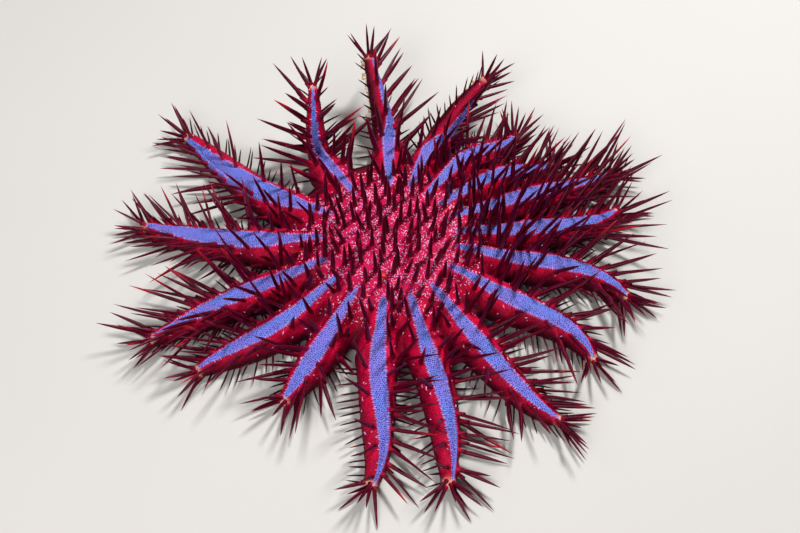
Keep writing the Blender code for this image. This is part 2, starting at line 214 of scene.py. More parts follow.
class SpineRow(NamedTuple):
    """Spines rooted at one angle from the crest, on both sides, that spread outward more towards the tip.

    A bare flank has none of the rows on_flank. Crowded_start is where a row starts on the crowded arms.
    """

    angle: float
    root_outward: float
    tip_outward: float
    spacing: float
    start: float
    end: float
    length: float
    radius: float
    on_flank: bool = False
    crowded_start: float | None = None


# Azimuth, bend, hook and length, then what is the arm's own
ARMS = (
    Arm(-7.5, 14, -76, 0.0896, tip_pitch=7, bare_hand=1, bare_until=0.34, stripe=0.92, spiny=1.15),
    Arm(8.0, 5, 30, 0.0888, tip_pitch=12, spiny=1.42),
    Arm(24.0, -12, 16, 0.0960, tip_pitch=15, stripe=0.82, spiny=1.34),
    Arm(39.5, -62, 72, 0.0660, tip_pitch=22, stripe=0.82),
    Arm(55.5, -88, 122, 0.0640, tip_pitch=24, stripe=0.80, spiny=0.86),
    Arm(72.0, -64, 50, 0.0865, 40, 24, roll=62, girth=0.76, bare_hand=-1, stripe=0.76, twist=20),
    Arm(91.0, 41, -36, 0.09, 50, 32, roll=46, girth=0.76, bare_hand=-1, stripe=0.74, sweep=0.85, spiny=1.12),
    Arm(123.0, -68, 47, 0.0810, 76, 38, girth=0.72, stripe=0.60, sweep=0.80, spiny=1.12),
    Arm(153.5, -48, 43, 0.1080, tip_pitch=14, bare_hand=1, stripe=1.34, twist=-34),
    Arm(178.0, -26, 9, 0.0984, tip_pitch=8, stripe=1.18),
    Arm(201.0, 8, 0, 0.0934, stripe=0.88, spiny=1.10),
    Arm(221.0, -41, 39, 0.0767, bare_hand=-1, stripe=0.80),
    Arm(240.5, -13, 7, 0.0510, stripe=1.02),
    Arm(265.0, 25, -46, 0.0898, bare_hand=1, stripe=0.93, sweep=0.5, twist=-33),
    Arm(287.0, -18, -1, 0.0929, bare_hand=1, stripe=0.86, sweep=0.5, twist=-33),
    Arm(307.7, 2, 25, 0.0873, bare_hand=1, bare_until=0.46, stripe=0.86),
    Arm(332.0, 22, -86, 0.0806, bare_hand=1, bare_until=0.44),
)
# Painted shade: how much darker an arm's flanks are painted than their height alone makes them, for the shade
# between the arms
PAINTED_FLANK_SHADES = np.array([0.11 if arm.twist else 0.13 for arm in ARMS])

# Rows of long spines down each side of an arm, from the stripe's border to the flank, and the low comb
SPINE_ROWS = (
    SpineRow(33, 12, 46, spacing=0.0116, start=-0.30, end=0.91, length=0.0300, radius=0.00132),
    SpineRow(60, 34, 66, spacing=0.0172, start=-0.12, end=0.92, length=0.0335, radius=0.00140, on_flank=True),
    SpineRow(86, 66, 84, 0.0200, 0.10, 0.93, 0.0325, 0.00130, on_flank=True, crowded_start=0.62),
)
COMB_ROW = SpineRow(106, 92, 98, spacing=0.0054, start=0.06, end=0.95, length=0.0136, radius=0.00082)
# Spacing and thickness of an arm's spines: the arms at the viewer's upper right lie close together, and their
# spines stand up, long and thin. The two raised at the back carry fewer and stouter ones
CROWDED_ARMS = range(5)
CROWDED_SPINES = (0.96, 1.04)
RAISED_ARMS = (6, 7)
RAISED_SPINES = (1.46, 1.24)
USUAL_SPINES = (1.0, 1.0)
BARE_SPACING = 1.6
CROWDED_OUTWARD = 0.40
ROOM_BAND = (0.024, 0.020)
ROOT_LEAN = 3.0
TIP_LEAN = 60.0
LEAN_POWER = 1.6
ANGLE_JITTER = 6.5
LEAN_JITTER = 11.0
LENGTH_JITTER = 0.18
THICKNESS_JITTER = 0.14
PLACE_JITTER = 0.25
STAGGER_JITTER = 0.1
TIP_THICKNESS = 0.80

# The fan at the tip: each spine's angle from the crest and its lean
TIP_FAN = (
    *((-118, 58), (-92, 40), (-70, 62), (-48, 44), (-22, 60), (0, 76)),
    *((22, 46), (48, 64), (70, 42), (92, 60), (118, 50)),
)
TIP_FAN_PLACE = 0.965
TIP_FAN_JITTER = 0.015
TIP_FAN_LENGTH = 0.0225
TIP_FAN_RADIUS = 0.00108

# Rings of spines on the disc, each a count and a radius
DISC_RINGS = ((3, 0.005), (8, 0.013), (13, 0.021), (18, 0.029), (22, 0.037), (25, 0.045), (17, 0.0525))
DISC_SPINE_LENGTH = 0.0235
DISC_SPINE_RADIUS = 0.00148
DISC_CENTRE_LEAN = 3.0
DISC_RIM_LEAN = 8.0
DISC_STEP_JITTER = 0.28
DISC_PLACE_JITTER = 0.0022
DISC_SWING = 45.0

# How a spine may be changed to find room, the least change first, and what it keeps clear of
SIZES = (1.0, 0.84, 0.68)
LIFTS = (0.0, 0.2, 0.45, 0.8, 1.3, 2.2)
SWINGS = (0.0, 0.25, -0.25)
SPINE_CLEARANCE = 0.0002
TOUCHING_SHARE = 0.8
BOX_MARGIN = 0.002
FLOOR_CLEARANCE = 0.0005
FLOOR_GAP = 0.00002
COMB_ROOT_HEIGHT = 0.0016

# How far granules keep from the middle of a spine's root
DOT_GAP = PAPULA_GAP = 0.0019
TOOTH_GAP = 0.0017
SPECK_GAP = 0.0015


def ramp(x, start, run):
    """Smoothly from 0 at the start to 1 a run past it, or before it where the run is negative."""
    share = np.clip((x - start) / run, 0.0, 1.0)
    return share * share * (3.0 - 2.0 * share)


def blend(a, b, share):
    return a + (b - a) * share


def jitter(amount, count=None):
    return draw.uniform(-amount, amount, count)


def varied(share):
    return draw.uniform(1.0 - share, 1.0 + share)


def level(degrees):
    """The level directions at these azimuths."""
    turn = np.radians(np.asarray(degrees, float))
    return np.stack((np.cos(turn), np.sin(turn), np.zeros_like(turn)), axis=-1)


def column(values):
    return np.asarray(values)[..., None]


def unit(vectors):
    return vectors / np.maximum(np.linalg.norm(vectors, axis=-1, keepdims=True), 1e-12)


def dot(a, b):
    return (a * b).sum(axis=-1)


def tree_of(points):
    tree = kdtree.KDTree(len(points))
    for k, point in enumerate(points):
        tree.insert(point, k)
    tree.balance()
    return tree


def disc_height(radius):
    return blend(CROWN_HEIGHT, RIM_HEIGHT, (np.clip(radius / DISC_RADIUS, 0.0, 1.0)) ** CROWN_FALL_POWER)


def section_curve(around):
    """The rounded cross-section at an angle from the crest: across in half widths, above in heights."""
    knots = np.array(list(SECTION) + [(-across, above) for across, above in SECTION[-2:0:-1]])
    place = (around / (2.0 * math.pi) % 1.0) * len(knots)
    k = place.astype(int) % len(knots)
    t = column(place - place.astype(int))
    p0, p1, p2, p3 = (knots[(k + step) % len(knots)] for step in (-1, 0, 1, 2))
    curve = p1 + 0.5 * t * (p2 - p0 + t * (2 * p0 - 5 * p1 + 4 * p2 - p3 + t * (3 * (p1 - p2) + p3 - p0)))
    return curve[:, 0], np.maximum(curve[:, 1], 0.0)


class ArmShape:
    """An arm's path and sizes: s is 0 at the disc's rim, 1 at the tip and below 0 inside the disc."""

    STEPS = 80

    def __init__(self, index):
        self.index = index
        self.arm = ARMS[index]
        here = self.arm.azimuth
        clockwise = (here - ARMS[index - 1].azimuth) % 360.0
        anticlockwise = (ARMS[(index + 1) % len(ARMS)].azimuth - here) % 360.0
        narrowest = math.radians(min(clockwise, anticlockwise) / 2.0)
        self.root_half_width = min(DISC_RADIUS * math.tan(narrowest) - JOINT_GAP, WIDEST_ROOT_HALF_WIDTH)
        self.first = self.place_of(INNER_RADIUS)
        steps = self.direction((np.arange(self.STEPS) + 0.5) / self.STEPS) * self.arm.length / self.STEPS
        start = level(here) * (DISC_RADIUS + JOINT_GAP) + HUB
        self.sole = start + np.concatenate((np.zeros((1, 3)), np.cumsum(steps, axis=0)))

    def place_of(self, radius):
        return (radius - DISC_RADIUS) / self.arm.length

    def disc_radius(self, s):
        return DISC_RADIUS + np.minimum(s, 0.0) * self.arm.length

    def heading(self, s):
        out = np.maximum(s, 0.0)
        return self.arm.azimuth + self.arm.bend * out + self.arm.hook * out**3

    def pitch(self, s):
        if self.arm.rise:
            levelling = (self.arm.tip_pitch - self.arm.rise) * ramp(s, *LEVELLING)
            return self.arm.rise * ramp(s, *CLIMB) + levelling
        return self.arm.tip_pitch * ramp(s, *TIP_LIFT)

    def direction(self, s):
        pitch = np.radians(self.pitch(s))
        return level(self.heading(s)) * column(np.cos(pitch)) + UP * column(np.sin(pitch))

    def half_width(self, s):
        out = np.maximum(s, 0.0)
        slim = ARM_HALF_WIDTH * self.arm.girth
        width = blend(slim, self.root_half_width, 1.0 - ramp(out, *ROOT_FLARE))
        inwards = (self.disc_radius(s) / DISC_RADIUS) ** INNER_WIDTH_POWER
        return width * (1.0 - WIDTH_TAPER * out**WIDTH_TAPER_POWER) * self.rounding(s) * inwards

    def height(self, s):
        out = np.maximum(s, 0.0)
        radius = self.disc_radius(s)
        base = disc_height(radius) * blend(INNER_HEIGHT_SHARE, 1.0, ramp(radius, *ARM_RISE_BAND))
        base = base * blend(self.arm.girth, 1.0, 1.0 - ramp(out, *ROOT_FLARE))
        return base * (1.0 - HEIGHT_TAPER * out**HEIGHT_TAPER_POWER) * self.rounding(s)

    @staticmethod
    def rounding(s):
        return 1.0 - TIP_ROUNDING * ramp(s - 1.0, -TIP_ROUNDING_SHARE, TIP_ROUNDING_SHARE)

    def reach_down(self, s, roll):
        wide = self.half_width(s) * np.sin(np.abs(roll))
        high = self.height(s) * np.cos(roll)
        return np.max([across * wide + (0.5 - above) * high for across, above in SECTION], axis=0)

    def frame(self, s):
        """The middles of the cross-sections at s, with their sideways, upward and forward directions."""
        s = np.atleast_1d(np.asarray(s, float))
        place = np.clip(s, 0.0, 1.0) * self.STEPS
        k = np.minimum(place.astype(int), self.STEPS - 1)
        part = column(place - k)
        sole = self.sole[k] * (1.0 - part) + self.sole[k + 1] * part
        sole = sole + level(self.arm.azimuth) * column(np.minimum(s, 0.0) * self.arm.length)
        forward = self.direction(s)
        level_side = level(self.heading(s) - 90.0)
        level_up = np.cross(level_side, forward)
        roll = np.radians(self.arm.roll) * ramp(s, *ROLLING)
        side = level_side * column(np.cos(roll)) - level_up * column(np.sin(roll))
        up = level_up * column(np.cos(roll)) + level_side * column(np.sin(roll))
        return sole + level_up * column(self.reach_down(s, roll)), side, up, forward

    def frame_at(self, s):
        """The same at one place."""
        return (vectors[0] for vectors in self.frame(s))

    def over_crest(self, s, across):
        """Points level with the crest, this far to the side of it."""
        middle, side, up, _ = self.frame(s)
        return middle + side * column(across) + up * column(self.height(s) / 2.0)

    def turn(self, s):
        """How far round the arm its stripe and spines have turned by here, in degrees."""
        return self.arm.twist * ramp(s, *TURNING)

    def stripe_middle(self, s):
        return self.half_width(s) * np.sin(np.radians(self.turn(s)))

    def stripe_half_width(self, s):
        """Half the stripe's width: a point on the disc, widest past the rim, and narrow again at the tip."""
        radius = DISC_RADIUS + s * self.arm.length
        opening = ramp(radius, *OPENING_BAND) * OPENING_SHARE
        widening = (1.0 - OPENING_SHARE) * ramp(radius, *WIDENING_BAND)
        closing = 1.0 - CLOSING_SHARE * np.clip(s, 0.0, 1.0) ** CLOSING_POWER
        own = blend(1.0, self.arm.stripe, ramp(radius, *OWN_WIDTH_BAND))
        turned = np.cos(np.radians(TURN_NARROWING * self.turn(s)))
        return STRIPE_WIDEST * (opening + widening) * closing * own * turned


SHAPES = [ArmShape(index) for index in range(len(ARMS))]


def places_of(mesh):
    found = np.empty(len(mesh.vertices) * 3, np.float32)
    mesh.vertices.foreach_get("co", found)
    return found.reshape(-1, 3).astype(float)


def normals_of(mesh):
    found = np.empty(len(mesh.vertices) * 3, np.float32)
    mesh.vertices.foreach_get("normal", found)
    return found.reshape(-1, 3)


def place_vertices(mesh, points):
    mesh.vertices.foreach_set("co", np.asarray(points, np.float32).ravel())
    mesh.update()


def point_attribute(mesh, name, values):
    layer = mesh.attributes.new(name, "FLOAT", "POINT")
    layer.data.foreach_set("value", np.asarray(values, np.float32))


def sphere(segments, rings):
    """A unit sphere with its points, to be drawn out into another shape."""
    bpy.ops.mesh.primitive_uv_sphere_add(segments=segments, ring_count=rings, radius=1.0)
    return bpy.context.object, places_of(bpy.context.object.data)


def apply_modifier(obj, kind, **settings):
    """Adds a modifier with these settings to an object and applies it."""
    bpy.context.view_layer.objects.active = obj
    added = obj.modifiers.new(kind.lower(), kind)
    for key, value in settings.items():
        setattr(added, key, value)
    bpy.ops.object.modifier_apply(modifier=added.name)


def arm_flesh(shape):
    """An arm drawn out from a sphere whose rings become the cross-sections along its path."""
    tube, ball = sphere(48, 140)
    share = np.arccos(np.clip(ball[:, 2], -1.0, 1.0)) / math.pi
    s = blend(shape.first, 1.0, share)
    across, above = section_curve(np.arctan2(ball[:, 1], ball[:, 0]))
    end = np.maximum((share - (1.0 - TIP_CAP)) / TIP_CAP, (INNER_CAP - share) / INNER_CAP)
    cap = np.sqrt(1.0 - np.clip(end, 0.0, 1.0) ** 2)
    middle, side, up, _ = shape.frame(s)
    wide = across * shape.half_width(s) * cap
    high = (above - 0.5) * shape.height(s) * cap
    place_vertices(tube.data, middle + side * column(wide) + up * column(high))
    return tube


def disc_flesh():
    """The disc turned from a sphere: its rings follow a profile from the crown over the rim to the mouth."""
    disc, ball = sphere(136, 90)
    share = np.arccos(np.clip(ball[:, 2], -1.0, 1.0)) / math.pi
    radii = np.array(CROWN_RADII)
    sink = blend(1.0, CORNER_HEIGHT_SHARE, ramp(radii / DISC_RADIUS, *FURROWS))
    top = list(zip(radii, disc_height(radii) * sink - CROWN_SINK))
    profile = np.array(top + list(SOLE_PROFILE))
    travel = np.concatenate(((0.0,), np.cumsum(np.linalg.norm(np.diff(profile, axis=0), axis=1))))
    travel /= travel[-1]
    around = level(np.degrees(np.arctan2(ball[:, 1], ball[:, 0])))
    radius = np.interp(share, travel, profile[:, 0])
    height = np.interp(share, travel, profile[:, 1])
    place_vertices(disc.data, HUB + around * column(radius) + UP * column(height))
    return disc


def fleshy_body():
    """The arms and the disc fused into one smooth skin."""
    parts = [arm_flesh(shape) for shape in SHAPES] + [disc_flesh()]
    for part in parts:
        part.select_set(True)
    bpy.context.view_layer.objects.active = parts[-1]
    bpy.ops.object.join()
    body = bpy.context.object
    body.name = "skin"
    apply_modifier(body, "REMESH", mode="VOXEL", voxel_size=SKIN_VOXEL)
    apply_modifier(body, "SMOOTH", factor=0.5, iterations=6)
    body.select_set(False)
    return body


class Lie:
    """For points on the skin: the arm each belongs to, the place s along it, and how it lies across it.

    Stripe is how far inside the stripe's border a point is, above its height over the sole in arm heights and
    lit the same with painted shade: the disc lightest and the flanks painted darker.
    """

    def __init__(self, points):
        spots, owners, stations = [], [], []
        for shape in SHAPES:
            count = int((1.0 - shape.first) * shape.arm.length / STATION_PITCH)
            s = np.linspace(shape.first, 1.0, count)
            spots.append(shape.frame(s)[0])
            owners.append(np.full(count, shape.index))
            stations.append(s)
        tree = tree_of(np.concatenate(spots))
        nearest = np.array([tree.find(point)[1] for point in points])
        self.owner = np.concatenate(owners)[nearest]
        self.s = np.concatenate(stations)[nearest]
        count = len(points)
        self.above, self.along, self.stripe = np.zeros(count), np.zeros(count), np.full(count, NO_STRIPE)
        for shape in SHAPES:
            mine = self.owner == shape.index
            middle, side, up, forward = shape.frame(self.s[mine])
            offset = points[mine] - middle
            s = self.s[mine] + dot(offset, forward) / shape.arm.length
            within = s.clip(shape.first, 1.0)
            self.s[mine] = s
            self.above[mine] = 0.5 + dot(offset, up) / shape.height(within)
            self.along[mine] = s * shape.arm.length
            inward = shape.stripe_half_width(within) - np.abs(dot(offset, side) - shape.stripe_middle(within))
            inward -= START_PULL * ramp(shape.disc_radius(within), *START_BAND)
            self.stripe[mine] = np.where(self.above[mine] > 0.5, inward, NO_STRIPE)
        self.disc_radius = np.linalg.norm((points - HUB)[:, :2], axis=1)
        # Painted shade: the disc is painted fully lit, the flanks darker low down and by their arm's painted
        # flank shade
        self.lit = np.where(self.disc_radius < LIT_RADIUS, 1.0, self.above - PAINTED_FLANK_SHADES[self.owner])
        self.in_hollow = (self.disc_radius < HOLLOW_RADIUS) & (points[:, 2] < HOLLOW_HEIGHT)

    def under(self, normals):
        """How far these normals of the points face the sole, from -1 to 1, and 1 in the mouth's hollow."""
        found = np.zeros(len(normals))
        for shape in SHAPES:
            mine = self.owner == shape.index
            up = shape.frame(self.s[mine].clip(shape.first, 1.0))[2]
            found[mine] = -dot(normals[mine], up)
        found[self.in_hollow] = 1.0
        return found


class Spine(NamedTuple):
    root: np.ndarray
    direction: np.ndarray
    along: np.ndarray
    length: float
    radius: float


def segment_gaps(a, b, c, d):
    """The least distances between the stretches a to b and c to d, for arrays of points."""
    u, v, w = b - a, d - c, a - c
    uu, uv, vv = dot(u, u), dot(u, v), dot(v, v)
    uw, vw = dot(u, w), dot(v, w)
    spread = np.maximum(uu * vv - uv * uv, 1e-18)
    s = np.clip((uv * vw - vv * uw) / spread, 0.0, 1.0)
    t = np.clip((uv * s + vw) / vv, 0.0, 1.0)
    s = np.clip((uv * t - uw) / uu, 0.0, 1.0)
    return np.linalg.norm(w + u * column(s) - v * column(t), axis=-1)


class Thicket:
    """The spines set so far, and the arms, as rows of balls, that each new one has to pass clear of."""

    BALLS = 18
    BALL_REACH = 0.050
    SPINE_REACH = 0.068

    def __init__(self):
        stations = np.linspace(0.0, 1.0, self.BALLS)
        self.middles = np.concatenate([shape.frame(stations)[0] for shape in SHAPES])
        reaches = [(shape.half_width(stations) + shape.height(stations) / 2.0) / 2.0 for shape in SHAPES]
        self.reaches = np.concatenate(reaches)
        self.owners = np.repeat([shape.index for shape in SHAPES], self.BALLS)
        self.choices = np.array([(size, lift, swing) for size in SIZES for lift in LIFTS for swing in SWINGS])
        self.low, self.high = np.array(CAD_LOW) - BOX_MARGIN, np.array(CAD_HIGH) + BOX_MARGIN
        self.set = []

    def settle(self, owner, spine):
        """The spine with the least change that clears all, or None."""
        root, direction, along, length, radius = spine
        size, lift, swing = self.choices.T
        ways = unit(direction + column(lift) * UP + column(swing) * along)
        tips = root + ways * column(length * size)
        good = (tips[:, 2] > FLOOR_CLEARANCE) & (tips[:, 2] < self.high[2])
        good &= ((tips[:, :2] > self.low[:2]) & (tips[:, :2] < self.high[:2])).all(axis=1)
        others = (self.owners != owner) & (np.linalg.norm(self.middles - root, axis=1) < self.BALL_REACH)
        if others.any():
            middles = self.middles[others][None]
            stretch = (tips - root)[:, None]
            t = np.clip(dot(middles - root, stretch) / dot(stretch, stretch), 0.0, 1.0)
            gaps = np.linalg.norm(root + stretch * column(t) - middles, axis=-1)
            good &= (gaps > self.reaches[others] + radius).all(axis=1)
        if self.set:
            starts, ends, radii = (np.array(rows) for rows in zip(*self.set))
            near = np.linalg.norm(starts - root, axis=1) < self.SPINE_REACH
            if near.any():
                gaps = segment_gaps(root, tips[:, None], starts[near][None], ends[near][None])
                good &= (gaps > (radii[near] + radius) * TOUCHING_SHARE + SPINE_CLEARANCE).all(axis=1)
        if not good.any():
            return None
        best = int(np.argmax(good))
        self.set.append((root, tips[best], radius))
        return spine._replace(direction=ways[best], length=length * size[best])

    def room_beside(self, shape, s, hand):
        """From 0 where a neighbouring arm lies close on this side to 1 where there is none."""
        middle, side, _, _ = shape.frame_at(s)
        away = self.middles[self.owners != shape.index] - middle
        beside = dot(away, side) * hand > 0.0
        gap = np.linalg.norm(away[beside], axis=1).min() if beside.any() else 1.0
        return ramp(gap, *ROOM_BAND)


thicket = Thicket()


def lean_at(s):
    return blend(ROOT_LEAN, TIP_LEAN, 1.0 - (1.0 - np.clip(s, 0.0, 1.0)) ** LEAN_POWER)


def length_at(s):
    """Spines are longest a little short of the middle of the arm."""
    return 0.84 + 0.26 * math.sin(math.pi * min(max(s, -0.1) + 0.12, 1.0))


def arm_spine(shape, s, angle, outward, lean, length, radius):
    """A spine rooted at an angle from the crest, which points outward from the crest and leans forward."""
    middle, side, up, forward = shape.frame_at(s)
    turn, tilt, ahead = math.radians(angle), math.radians(outward), math.radians(lean)
    wide, high = float(shape.half_width(s)), float(shape.height(s))
    root = middle + side * (math.sin(turn) * wide) + up * (math.cos(turn) * high / 2.0)
    across = side * math.sin(tilt) + up * math.cos(tilt)
    return Spine(root, unit(across * math.cos(ahead) + forward * math.sin(ahead)), forward, length, radius)


def row_spines(shape, row):
    arm = shape.arm
    crowded = shape.index in CROWDED_ARMS
    raised = shape.index in RAISED_ARMS
    sparse, stout = CROWDED_SPINES if crowded else RAISED_SPINES if raised else USUAL_SPINES
    long = row is not COMB_ROW
    found = []
    for hand in HANDS:
        bare = hand == arm.bare_hand
        start = row.start
        if bare and row.on_flank:
            if arm.bare_until >= row.end:
                continue
            start = max(start, arm.bare_until)
        if crowded and row.crowded_start:
            start = row.crowded_start
        spacing = row.spacing * sparse * (BARE_SPACING if bare and long else 1.0)
        run = row.end - start
        count = max(2, round(run * arm.length / spacing) + 1)
        stagger = 0.5 * (hand > 0) + jitter(STAGGER_JITTER)
        for k in range(count):
            s = start + run * (k + stagger + jitter(PLACE_JITTER)) / (count - 0.5)
            turned = shape.turn(s)
            angle = turned + hand * (row.angle + jitter(ANGLE_JITTER))
            outward = blend(row.root_outward, row.tip_outward, ramp(s, *SPREADING))
            outward *= blend(CROWDED_OUTWARD, 1.0, thicket.room_beside(shape, s, hand))
            outward = turned + hand * (outward + jitter(LEAN_JITTER))
            lean = lean_at(s) * arm.sweep + jitter(LEAN_JITTER)
            length = row.length * length_at(s) * varied(LENGTH_JITTER)
            radius = row.radius * blend(1.0, TIP_THICKNESS, max(s, 0.0)) * varied(THICKNESS_JITTER)
            if long:
                length *= arm.spiny
                radius *= stout
            found.append(arm_spine(shape, s, angle, outward, lean, length, radius))
    return found


def arm_spines(shape):
    found = []
    for angle, lean in TIP_FAN:
        length = TIP_FAN_LENGTH * varied(LENGTH_JITTER)
        place = TIP_FAN_PLACE + jitter(TIP_FAN_JITTER)
        found.append(arm_spine(shape, place, angle, angle, lean, length, TIP_FAN_RADIUS))
    return found + [spine for row in SPINE_ROWS for spine in row_spines(shape, row)]


def disc_spines():
    found = []
    for ring, (count, radius) in enumerate(DISC_RINGS):
        for k in range(count):
            azimuth = 360.0 * (k + 0.5 * (ring % 2) + jitter(DISC_STEP_JITTER)) / count
            place = radius + jitter(DISC_PLACE_JITTER)
            along = level(azimuth)
            lean = blend(DISC_CENTRE_LEAN, DISC_RIM_LEAN, place / DISC_RADIUS)
            lean = math.radians(lean + jitter(LEAN_JITTER))
            swing = level(azimuth + jitter(DISC_SWING))
            root = HUB + along * place + UP * disc_height(place)
            direction = swing * math.sin(lean) + UP * math.cos(lean)
            length = DISC_SPINE_LENGTH * varied(LENGTH_JITTER)
            found.append(Spine(root, direction, along, length, DISC_SPINE_RADIUS))
    return found


def settled_spines():
    """All the long spines, settled clear of each other. The disc's own belong to no arm."""
    groups = [(-1, disc_spines())] + [(shape.index, arm_spines(shape)) for shape in SHAPES]
    settled = [thicket.settle(owner, spine) for owner, spines in groups for spine in spines]
    return [spine for spine in settled if spine]


class Template:
    """A small shape, modelled once and copied: one unit long up Z and one unit in radius.

    Its patch holds the place of each corner on the copy's patch of the bake map.
    """

    MARGIN = 0.06
    FOOT = 0.14
    FOOT_MIDDLE = 0.35
    FOOT_DEPTH = 0.3
    ROUND = 1.15

    def __init__(self, points, faces):
        self.points = points
        self.corners = np.concatenate([np.array(face) for face in faces])
        self.totals = np.array([len(face) for face in faces])
        low, high = points[:, 2].min(), points[:, 2].max()
        self.height = (points[:, 2] - low) / (high - low)
        patch = [place for face in faces for place in self.patch_of(np.array(face))]
        self.patch = self.MARGIN + (1.0 - 2.0 * self.MARGIN) * np.array(patch)

    def patch_of(self, face):
        """Sides are rolled out flat over a patch, and the foot is laid under them."""
        x, y, _ = self.points[face].T
        height = self.height[face]
        if np.ptp(height) < 1e-6:
            widest = max(np.abs(self.points[:, :2]).max(), 1e-9)
            depth = self.FOOT_MIDDLE + self.FOOT_DEPTH * y / widest
            return list(zip(0.5 + 0.5 * x / widest, self.FOOT * depth))
        turn = np.arctan2(y, x) / (2.0 * math.pi) % 1.0
        on_axis = np.hypot(x, y) < 1e-7
        if np.ptp(turn[~on_axis]) > 0.5:
            turn = np.where(turn < 0.5, turn + 1.0, turn)
        turn = np.where(on_axis, turn[~on_axis].mean(), turn)
        return list(zip(turn / self.ROUND, self.FOOT + (1.0 - self.FOOT) * height))

    def ridges(self):
        """Which points are the outermost at their height."""
        out = np.hypot(*self.points[:, :2].T)
        widest = np.array([out[np.isclose(self.height, height)].max() for height in self.height])
        return out >= widest * 0.97


def drawn_up(sides, *profile, ridge=0.0):
    """A closed shape extruded up from a flat ring through (height, radius) steps to its point."""
    height, radius = profile[0]
    bpy.ops.mesh.primitive_circle_add(
        vertices=sides, radius=radius, fill_type="NGON", location=(0, 0, height)
    )
    made = bpy.context.object
    bpy.ops.object.transform_apply(location=True, rotation=True, scale=True)
    bpy.ops.object.mode_set(mode="EDIT")
    bpy.ops.mesh.select_all(action="SELECT")
    for (below, wide), (above, narrow) in zip(profile, profile[1:]):
        bpy.ops.mesh.extrude_region_move(TRANSFORM_OT_translate={"value": (0, 0, above - below)})
        if narrow > 0.0:
            bpy.ops.transform.resize(value=(narrow / wide, narrow / wide, 1.0))
        else:
            bpy.ops.mesh.merge(type="CENTER")
    bpy.ops.mesh.select_all(action="SELECT")
    bpy.ops.mesh.normals_make_consistent(inside=False)
    bpy.ops.object.mode_set(mode="OBJECT")
    points = places_of(made.data)
    if ridge:
        turn = np.arctan2(points[:, 1], points[:, 0])
        points[:, :2] *= column(1.0 + ridge * np.cos(turn * sides / 2.0))
    loops = [list(face.vertices) for face in made.data.polygons]
    bpy.data.objects.remove(made)
    return Template(points, loops)


def dress(obj, finish, slot="skin", *nodes):
    """Gives a finished piece its material and its body; the slot is not used."""
    obj.data.materials.clear()
    obj.data.materials.append(finish)
    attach(obj, "root")
    if nodes:
        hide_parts(*nodes)


def copies(
    name, template, finish, roots, directions, radii, lengths,
    squash=1.0, curl=None, across=None, bend=0.0, shades=None, ridged=None,
):
    """One joined and finished mesh of a template set at every root, with each copy's shade and bake patch.

    Sizes are each copy's own, or a range (low, high) to draw them from. Squash is a copy's length across
    against its width, curl bends it into an arc and bend sways its point.
    """
    count, size = len(roots), len(template.points)
    radii, lengths, squash, curl = (
        draw.uniform(*given, count) if isinstance(given, tuple) else given
        for given in (radii, lengths, squash, curl)
    )
    z = unit(directions)
    guide = draw.normal(size=(count, 3)) if across is None else across
    x = unit(np.cross(np.cross(z, guide), z))
    y = np.cross(z, x)
    shape = template.points[None]
    points = (
        roots[:, None]
        + x[:, None] * column(shape[..., 0] * column(radii * squash))
        + y[:, None] * column(shape[..., 1] * column(radii))
        + z[:, None] * column(shape[..., 2] * column(lengths))
    )
    if curl is not None:
        arc = shape[..., 0] ** 2 - 0.4
        points = points + y[:, None] * column(column(curl * radii) * arc)
    if bend:
        turn = draw.uniform(0.0, 2.0 * math.pi, count)
        sway = x * column(np.cos(turn)) + y * column(np.sin(turn))
        amount = draw.uniform(0.2, 1.0, count) * bend * lengths
        rise = np.clip(shape[..., 2], 0.0, None) ** 2
        points = points + sway[:, None] * column(column(amount) * rise)
    points[..., 2] = np.maximum(points[..., 2], FLOOR_GAP)
    mesh = bpy.data.meshes.new(name)
    mesh.vertices.add(count * size)
    mesh.vertices.foreach_set("co", points.astype(np.float32).ravel())
    corners = (template.corners[None] + size * np.arange(count)[:, None]).astype(np.int32)
    mesh.loops.add(corners.size)
    mesh.loops.foreach_set("vertex_index", corners.ravel())
    totals = np.tile(template.totals, count)
    mesh.polygons.add(len(totals))
    starts = np.concatenate(((0,), np.cumsum(totals)[:-1])).astype(np.int32)
    mesh.polygons.foreach_set("loop_start", starts)
    mesh.update(calc_edges=True)
    mesh.validate()
    if shades is None:
        shades = draw.uniform(0.0, 1.0, count)
    point_attribute(mesh, "along", np.tile(template.height, count))
    point_attribute(mesh, "shade", np.repeat(shades, size))
    if ridged is not None:
        point_attribute(mesh, "ridge", np.tile(ridged, count))
    tiles = math.ceil(math.sqrt(count))
    corner_tile = np.stack((np.arange(count) % tiles, np.arange(count) // tiles), axis=1)
    laid = (corner_tile[:, None] + template.patch[None]) / tiles
    mesh.uv_layers.new(name=BAKE_MAP).uv.foreach_set("vector", laid.astype(np.float32).ravel())
    mesh.shade_smooth()
    made = bpy.data.objects.new(name, mesh)
    bpy.context.scene.collection.objects.link(made)
    dress(made, finish)


